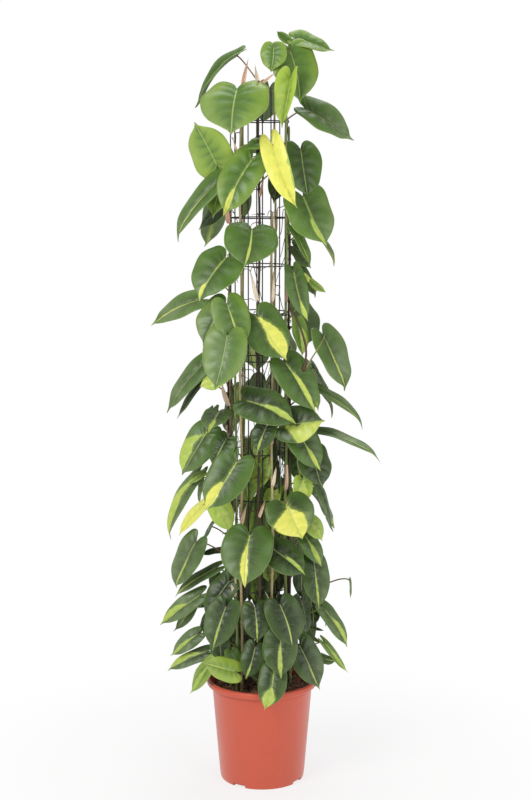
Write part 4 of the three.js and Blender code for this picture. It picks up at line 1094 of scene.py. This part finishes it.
class PLANT_OT_peat(bpy.types.Operator):
    """Lay the peat in the pot, with crumbs and reddish fibres on it"""
    bl_idname = "plant.peat"
    bl_label = "Peat"

    def execute(self, context):
        s = context.scene.plant_peat
        pick = random.Random(31)
        bm = bmesh.new()
        self.bed(bm)
        self.crumbs(bm, s, pick)
        fibres = rods_mesh("fibres", self.fibres(s, pick), 0)
        bm.from_mesh(fibres)
        bpy.data.meshes.remove(fibres)
        make_piece("peat_bed", bm, ("soil",), (peat_material(s), fibre_material(s)))
        return {"FINISHED"}

    def bed(self, bm):
        """A plug of earth, its top cut into rings that follow the lumps."""
        deep = PEAT["top"] - POT["floor"] - POT["floor_thick"] - 1
        low = POT["foot"] - POT["wall"]
        middle = Matrix.Translation((0, 0, (PEAT["edge"] - deep / 2) * MM))
        bmesh.ops.create_cone(bm, cap_ends=True, segments=PEAT["steps"], radius1=low * MM,
                              radius2=PEAT["inside"] * MM, depth=deep * MM, matrix=middle)
        top = max(bm.faces, key=lambda f: f.calc_center_median().z)
        for width in PEAT["insets"]:
            bmesh.ops.inset_region(bm, faces=[top], thickness=width * MM, depth=0)
        bmesh.ops.poke(bm, faces=[top])
        for v in bm.verts:
            if v.co.z > (PEAT["edge"] - 1) * MM:
                v.co.z = peat_height(v.co.x, v.co.y)

    def crumbs(self, bm, s, pick):
        for _ in range(s.crumbs):
            out = PEAT["inside"] * math.sqrt(pick.random()) * CRUMB["spread"] * MM
            turn = pick.uniform(0, 2 * math.pi)
            x, y = out * math.cos(turn), out * math.sin(turn)
            size = s.crumb * pick.uniform(*CRUMB["size"])**CRUMB["small"]
            wide, high = pick.uniform(*CRUMB["wide"]), pick.uniform(*CRUMB["high"])
            shape = Matrix.Diagonal((size * wide, size, size * high, 1))
            place = Matrix.Translation((x, y, peat_height(x, y) + CRUMB["above"] * size))
            turned = Matrix.Rotation(pick.uniform(0, math.pi), 4, (pick.random(), pick.random(), 0.5))
            bmesh.ops.create_icosphere(bm, subdivisions=1, radius=CRUMB["ball"],
                                       matrix=place @ turned @ shape)

    def fibres(self, s, pick):
        """Crooked rods that lie on the peat, held inside the pot's wall."""
        rods = []
        steps = FIBRE["points"] - 1
        for _ in range(s.fibres):
            out = PEAT["inside"] * math.sqrt(pick.random()) * FIBRE["spread"]
            turn = pick.uniform(0, 2 * math.pi)
            heading, long = pick.uniform(0, 2 * math.pi), pick.uniform(*FIBRE["long"])
            points = []
            for j in range(FIBRE["points"]):
                along = (j / steps - 0.5) * long
                x = out * math.cos(turn) + along * math.cos(heading) + pick.uniform(*FIBRE["stray"])
                y = out * math.sin(turn) + along * math.sin(heading) + pick.uniform(*FIBRE["stray"])
                hold = min(1.0, (PEAT["inside"] - FIBRE["clear"]) / max(SAME, math.hypot(x, y)))
                x, y = x * hold, y * hold
                points.append((x, y, peat_height(x * MM, y * MM) / MM + pick.uniform(*FIBRE["above"])))
            rods.append((np.array(points), [pick.uniform(*FIBRE["radius"])] * len(points), 1))
        return rods


def peat_height(x, y):
    """Height of the peat's surface in metres at a place in metres."""
    out = math.hypot(x, y) / (PEAT["inside"] * MM)
    start, steep = PEAT["slope"]
    dome = PEAT["top"] - (PEAT["top"] - PEAT["edge"]) * max(0.0, out - start) * steep
    lumps = sum(high * noise.noise(Vector((x * often, y * often, layer)))
                for high, often, layer in PEAT["lumps"])
    return (dome + lumps) * MM


class PLANT_OT_wire_column(bpy.types.Operator):
    """Roll the welded wire mesh: upright wires inside a stack of rings"""
    bl_idname = "plant.wire_column"
    bl_label = "Wire column"

    def execute(self, context):
        s = context.scene.plant_wire
        half = s.thickness / 2
        bm = bmesh.new()
        for i in range(COLUMN["rings"]):
            self.ring(bm, half, (COLUMN["top_ring"] - i * COLUMN["pitch"]) * MM)
        bmesh.ops.remove_doubles(bm, verts=bm.verts, dist=SAME)
        bmesh.ops.recalc_face_normals(bm, faces=bm.faces)
        uprights = rods_mesh("uprights", self.uprights(half / MM), 2)
        bm.from_mesh(uprights)
        bpy.data.meshes.remove(uprights)
        coating = coated_material("coated_wire", s.coating, 0.42, 300)
        make_piece("wire_mesh", bm, ("wire_column",), (coating,))
        return {"FINISHED"}

    def ring(self, bm, half, z):
        """A ring of wire, with a weld bead where each upright meets it."""
        centre = Vector((COLUMN["x"] * MM, 0, z))
        place = Matrix.Translation(centre + Vector((COLUMN["radius"] * MM, 0, 0)))
        facing = Matrix.Rotation(math.pi / 2, 4, "X")
        made = bmesh.ops.create_circle(bm, segments=8, radius=half, matrix=place @ facing)["verts"]
        edges = list(dict.fromkeys(e for v in made for e in v.link_edges))
        bmesh.ops.spin(bm, geom=made + edges, cent=centre, axis=(0, 0, 1), angle=2 * math.pi, steps=72,
                       use_merge=True)
        bead = Matrix.Diagonal((*COLUMN["weld"], 1))
        for bearing in COLUMN["bearings"]:
            at = round_column(bearing, (COLUMN["radius"] + UPRIGHT["out"]) / 2, 0) * MM
            weld = Matrix.Translation((at[0], at[1], z)) @ bead
            bmesh.ops.create_icosphere(bm, subdivisions=1, radius=half, matrix=weld)

    def uprights(self, radius):
        """The upright wires as rods, each a little wavy."""
        pick = random.Random(5)
        heights = np.linspace(COLUMN["foot"], COLUMN["top"], UPRIGHT["points"])
        rods = []
        for bearing in COLUMN["bearings"]:
            sway = [UPRIGHT["sway"] * pick.uniform(-1, 1) for _ in heights]
            points = [round_column(bearing + w / 2, UPRIGHT["out"] + UPRIGHT["stray"] * w, z)
                      for w, z in zip(sway, heights)]
            rods.append((np.array(points), [radius] * len(points), 0))
        return rods


class PLANT_OT_ties(bpy.types.Operator):
    """Bend the soft ties round a stem and the upright beside it, with twisted ends"""
    bl_idname = "plant.ties"
    bl_label = "Ties"

    def execute(self, context):
        s = context.scene.plant_wire
        rubber = coated_material("soft_tie", s.tie, 0.6, 500)
        pick = random.Random(17)
        for i, (stem, wire, z) in enumerate(TIES):
            name = f"tie_{i + 1}"
            ends = round_column(stem, STEM["out"], z), round_column(wire, UPRIGHT["out"], z)
            mesh = rods_mesh(f"{name}_loop", self.cords(*ends, i, pick), 1)
            register_piece(f"{name}_loop", mesh, (name,), (rubber,))
        return {"FINISHED"}

    def cords(self, stem, wire, number, pick):
        """Two turns of cord round a stem and an upright as rods, and the two ends of their knot."""
        inner = STEM["radius"] + TIE["slack"] + TIE["thick"] / 2
        reach = (np.linalg.norm(stem - wire) / 2 + inner) * TIE["longer"]
        way = unit(stem - wire)
        across = np.cross((0, 0, 1), way)
        middle = (stem + wire) / 2
        rods = []
        for shift in (-TIE["cord"], TIE["cord"]):
            loop = [middle + way * reach * math.cos(w) + across * inner * TIE["wider"] * math.sin(w)
                    + (0, 0, shift + TIE["wander"] * math.sin(2 * w + number))
                    for w in np.linspace(0, 2 * math.pi, 33)]
            rods.append((np.array(loop), [TIE["cord"]] * len(loop), 0))
        knot = middle + way * reach * TIE["knot"]
        for side in (-1, 1):
            bend = [knot, knot + way * 3 + across * side * 2,
                    knot + way * 6 + across * side * 5 + (0, 0, pick.uniform(-4, 3)),
                    knot + way * 7 + across * side * 9 + (0, 0, pick.uniform(-8, 0))]
            rods.append((smooth_line(bend, 9), [TIE["end"]] * 10, 0))
        return rods


class PLANT_OT_stems(bpy.types.Operator):
    """Grow each vine's stem with its joints, leaf stalks and aerial roots"""
    bl_idname = "plant.stems"
    bl_label = "Stems"

    def execute(self, context):
        s = context.scene.plant_stems
        barks = {
            "green": bark_material("green_bark", s.green, times_colour(s.green, 1.3), s.tan, 0.42, 30),
            "brown": bark_material("brown_bark", s.brown, times_colour(s.brown, 0.5), s.green, 0.36, 26),
            "tan": bark_material("tan_bark", s.tan, times_colour(s.tan, 0.6), s.green, 0.42, 26),
        }
        stalk = bark_material("leaf_stalk", s.stalk, s.stalk_red, s.tan, 0.2, 22)
        root = bark_material("aerial_root", s.root, s.brown, s.tan, 0.3, 60)
        for number, vine in enumerate(VINES):
            pick = random.Random(100 + number)
            line = stem_line(vine)
            routes = [stalk_route(blade, line) for blade, _ in vine_leaves(vine)]
            joints = sorted({round(route[0][2]) for route in routes} | set(self.joints(s, vine, pick)))
            rods = [self.stem(s, line, joints, pick)]
            if vine["name"] == SHOOT["vine"]:
                routes[SHOOT["leaf"]] = smooth_line(SHOOT["stalk"], PETIOLE["steps"])
                rods.append(self.shoot())
            rods += [self.stalk(route) for route in routes]
            rods += [self.root(line, z, pick) for z in joints if z < vine["top"] - AERIAL["below_top"]]
            name = f"{vine['name']}_stem"
            skins = (barks[vine["bark"]], stalk, root)
            register_piece(name, rods_mesh(name, rods, 2), (vine["name"],), skins)
        return {"FINISHED"}

    def joints(self, s, vine, pick):
        """Heights of the joints that bear no leaf."""
        pitch = s.joint / MM
        z = STEM["foot"] + pitch
        while z < vine["top"] - STEM["bare_top"]:
            yield round(z)
            z += pitch * pick.uniform(*STEM["uneven"])

    def stem(self, s, line, joints, pick):
        """A stem that thins to its top, swells at its joints and sways between the peat and its top."""
        fine = smooth_line(line, 6 * len(line))
        share = (fine[:, 2] - STEM["foot"]) / (fine[-1, 2] - STEM["foot"])
        radii = (s.foot + (s.tip - s.foot) * np.clip(share, 0, 1)) / MM
        for z in joints:
            radii += STEM["joint"] * np.exp(-((fine[:, 2] - z) / STEM["joint_long"])**2)
        phase = pick.uniform(0, 6)
        above, below = fine[:, 2] - PEAT["top"], fine[-1, 2] - fine[:, 2]
        loose = np.clip(above / STEM["settle"], 0, 1) * np.clip(below / STEM["settle"], 0, 1)
        for axis, (far, long) in enumerate(STEM["sway"]):
            fine[:, axis] += far * loose * np.sin(fine[:, 2] / long + (axis + 1) * phase)
        radii[-3:] *= STEM["end"]
        return fine, radii, 0

    def stalk(self, route):
        """A leaf stalk, thicker at its root and at its neck."""
        share = np.linspace(0, 1, len(route))
        (root, root_fall), (neck, neck_fall) = PETIOLE["root"], PETIOLE["neck"]
        swell = root * np.exp(-share * root_fall), neck * np.exp(-(1 - share) * neck_fall)
        return route, PETIOLE["radius"] + swell[0] + swell[1], 1

    def shoot(self):
        """The side shoot swells to a joint at its end."""
        route = smooth_line(SHOOT["route"], 60)
        share = np.linspace(0, 1, len(route))
        swell = np.exp(-((share - SHOOT["joint_at"]) / SHOOT["joint_long"])**2)
        radii = SHOOT["radius"] + (SHOOT["joint"] - SHOOT["radius"]) * swell
        radii[-2:] *= SHOOT["end"]
        return route, radii, 2

    def root(self, line, z, pick):
        """A root that bends from a joint in to the wires. Most are short, and some hang in the column."""
        at = stem_at(line, z)
        inward = unit(np.array((COLUMN["x"], 0, z)) - at)
        aside = np.cross(inward, (0, 0, 1)) * pick.choice((-1, 1))
        long = pick.uniform(*AERIAL["short"])
        points = [at, at + aside * long * 0.4 - inward * 1.5,
                  at + aside * long * 0.8 + inward * 3 + (0, 0, pick.uniform(-5, 3)),
                  at + aside * long + inward * 8 + (0, 0, pick.uniform(-14, 2))]
        if pick.random() < AERIAL["share"] and z > PEAT["top"] + AERIAL["hanging"][1]:
            for _ in range(3):
                down = (0, 0, -pick.uniform(*AERIAL["hanging"]) / 3)
                points.append(points[-1] + down + inward * pick.uniform(0, 14) + aside * pick.uniform(-4, 12))
        steps = 4 * len(points)
        return smooth_line(points, steps), np.linspace(AERIAL["thick"], AERIAL["thin"], steps + 1), 2


class PLANT_OT_leaves(bpy.types.Operator):
    """Bend and colour the heart-shaped leaves of each vine"""
    bl_idname = "plant.leaves"
    bl_label = "Leaves"

    def execute(self, context):
        s = context.scene.plant_leaves
        plan = blade_plan(HEART, 9, 36, 0.16, 1.35)
        wax = leaf_material(s)
        for number, vine in enumerate(VINES):
            sheets = Sheets(plan)
            lift = self.lift(s, sheets.values)
            for i, (blade, (tone, *streak, tint)) in enumerate(vine_leaves(vine)):
                points = self.bent(blade, sheets.values, lift, number, i)
                sheets.add(points, tone, tint, streak_margin(sheets.values, streak))
            sheets.finish(f"{vine['name']}_leaves", vine["name"], "leaf", wax)
        bpy.data.meshes.remove(plan)
        return {"FINISHED"}

    def lift(self, s, values):
        """Height over the bare blade: half its thickness, bulges between the veins, and the sunken rib."""
        reach = np.abs(values["u"])
        side = 2 * values["upper"] - 1
        bulge = 0.5 - 0.5 * np.cos(2 * math.pi * s.veins * (values["t"] - BLADE["sweep"] * reach**2))
        deep = BLADE["groove_deep"] + BLADE["groove_under"] * (side < 0)
        groove = np.exp(-(np.abs(values["across"]) / BLADE["groove"])**2) * deep
        lens = np.sin(math.pi * np.clip(reach, 0, 1)**BLADE["lens"])
        return side * s.thickness / MM / 2 + s.relief / MM * (bulge * lens - groove)

    def bent(self, blade, values, lift, number, index):
        """The points of a vine's leaf, with its own ripples, drooping lobes, hook, twist and sickle bend."""
        pick = random.Random(1000 * number + index)
        u, t, across, along = (values[name] for name in ("u", "t", "across", "along"))
        edge = BLADE["ripple"] * blade.half * np.abs(u)**3 * np.sin(BLADE["ripples"] * t + 3 * index + number)
        lobes = -BLADE["lobes"] * blade.long * np.maximum(0, BLADE["lobe"] - along)**2
        hook = pick.uniform(*BLADE["hook"]) * blade.long * np.maximum(0, along - BLADE["hook_from"])**2
        size = min(1.0, blade.half / BLADE["quilted_half"]) * pick.uniform(*BLADE["quilting"])
        on = np.clip(along, 0, 1)
        twist = pick.uniform(-1, 1) * BLADE["twist"] * blade.half * across * on
        points = blade.place(across, along, lift * size + edge + lobes + hook + twist)
        sickle = pick.uniform(-1, 1) * BLADE["sickle"] * blade.long * np.sin(math.pi * on)
        return points + blade.side * sickle[:, None]


class PLANT_OT_sheaths(bpy.types.Operator):
    """Fold the dry papery sheaths at the stems' joints"""
    bl_idname = "plant.sheaths"
    bl_label = "Sheaths"

    def execute(self, context):
        s = context.scene.plant_sheaths
        plan = blade_plan(SCALE, 5, 20, 0.0, 1.0)
        paper = sheath_material(s)
        for vine in VINES:
            if "sheaths" not in vine:
                continue
            sheets = Sheets(plan)
            values = sheets.values
            u, t = values["u"], values["t"]
            thick = (2 * values["upper"] - 1) * s.thickness / MM / 2
            for i, (at, tip, wide, face, tone) in enumerate(vine["sheaths"]):
                bend = (SHEATH["up"], SHEATH["bend"], SHEATH["fold"])
                blade = Blade(at, tip, wide * SHEATH["narrow"], face, *bend, phase=i * 2.3)
                crumple = SHEATH["crumple"] * np.sin(12 * t + 5 * u + i)
                pleat = SHEATH["pleat"] * np.sin(9 * u + 2 * i)
                roll = SHEATH["roll"] * u * np.sin(3.4 * t + i)
                lift = thick + (crumple + pleat + roll) * t
                points = blade.place(values["across"], values["along"], lift)
                sheets.add(points, tone, 0, np.zeros(len(u)))
            sheets.finish(f"{vine['name']}_sheaths", vine["name"], "sheath", paper)
        bpy.data.meshes.remove(plan)
        return {"FINISHED"}


class PLANT_PT_panel(bpy.types.Panel):
    """Lists the plant's pieces and the stage"""
    bl_label = "Potted philodendron"
    bl_idname = "PLANT_PT_panel"
    bl_space_type = "VIEW_3D"
    bl_region_type = "UI"
    bl_category = "Plant"

    def draw(self, context):
        for operator, settings in STEPS:
            box = self.layout.box()
            box.operator(operator.bl_idname)
            group = getattr(context.scene, settings)
            for name in group.__annotations__:
                box.prop(group, name)


SETTINGS = {
    "plant_stage": StageSettings,
    "plant_pot": PotSettings,
    "plant_peat": PeatSettings,
    "plant_wire": WireSettings,
    "plant_stems": StemSettings,
    "plant_leaves": LeafSettings,
    "plant_sheaths": SheathSettings,
}
STEPS = (
    (PLANT_OT_stage, "plant_stage"),
    (PLANT_OT_pot, "plant_pot"),
    (PLANT_OT_peat, "plant_peat"),
    (PLANT_OT_wire_column, "plant_wire"),
    (PLANT_OT_ties, "plant_wire"),
    (PLANT_OT_stems, "plant_stems"),
    (PLANT_OT_leaves, "plant_leaves"),
    (PLANT_OT_sheaths, "plant_sheaths"),
)
CLASSES = (*SETTINGS.values(), *(operator for operator, _ in STEPS), PLANT_PT_panel)


def register():
    for cls in CLASSES:
        bpy.utils.register_class(cls)
    for name, group in SETTINGS.items():
        setattr(bpy.types.Scene, name, PointerProperty(type=group))


def unregister():
    for name in SETTINGS:
        delattr(bpy.types.Scene, name)
    for cls in reversed(CLASSES):
        bpy.utils.unregister_class(cls)


def main():
    register()
    for operator, _ in STEPS:
        group, name = operator.bl_idname.split(".")
        getattr(getattr(bpy.ops, group), name)()
    boxes = {"cad": CAD_BOX, "visual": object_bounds()}
    {name: [list(corner) for corner in box] for name, box in boxes.items()}


if __name__ == "__main__":
    main()
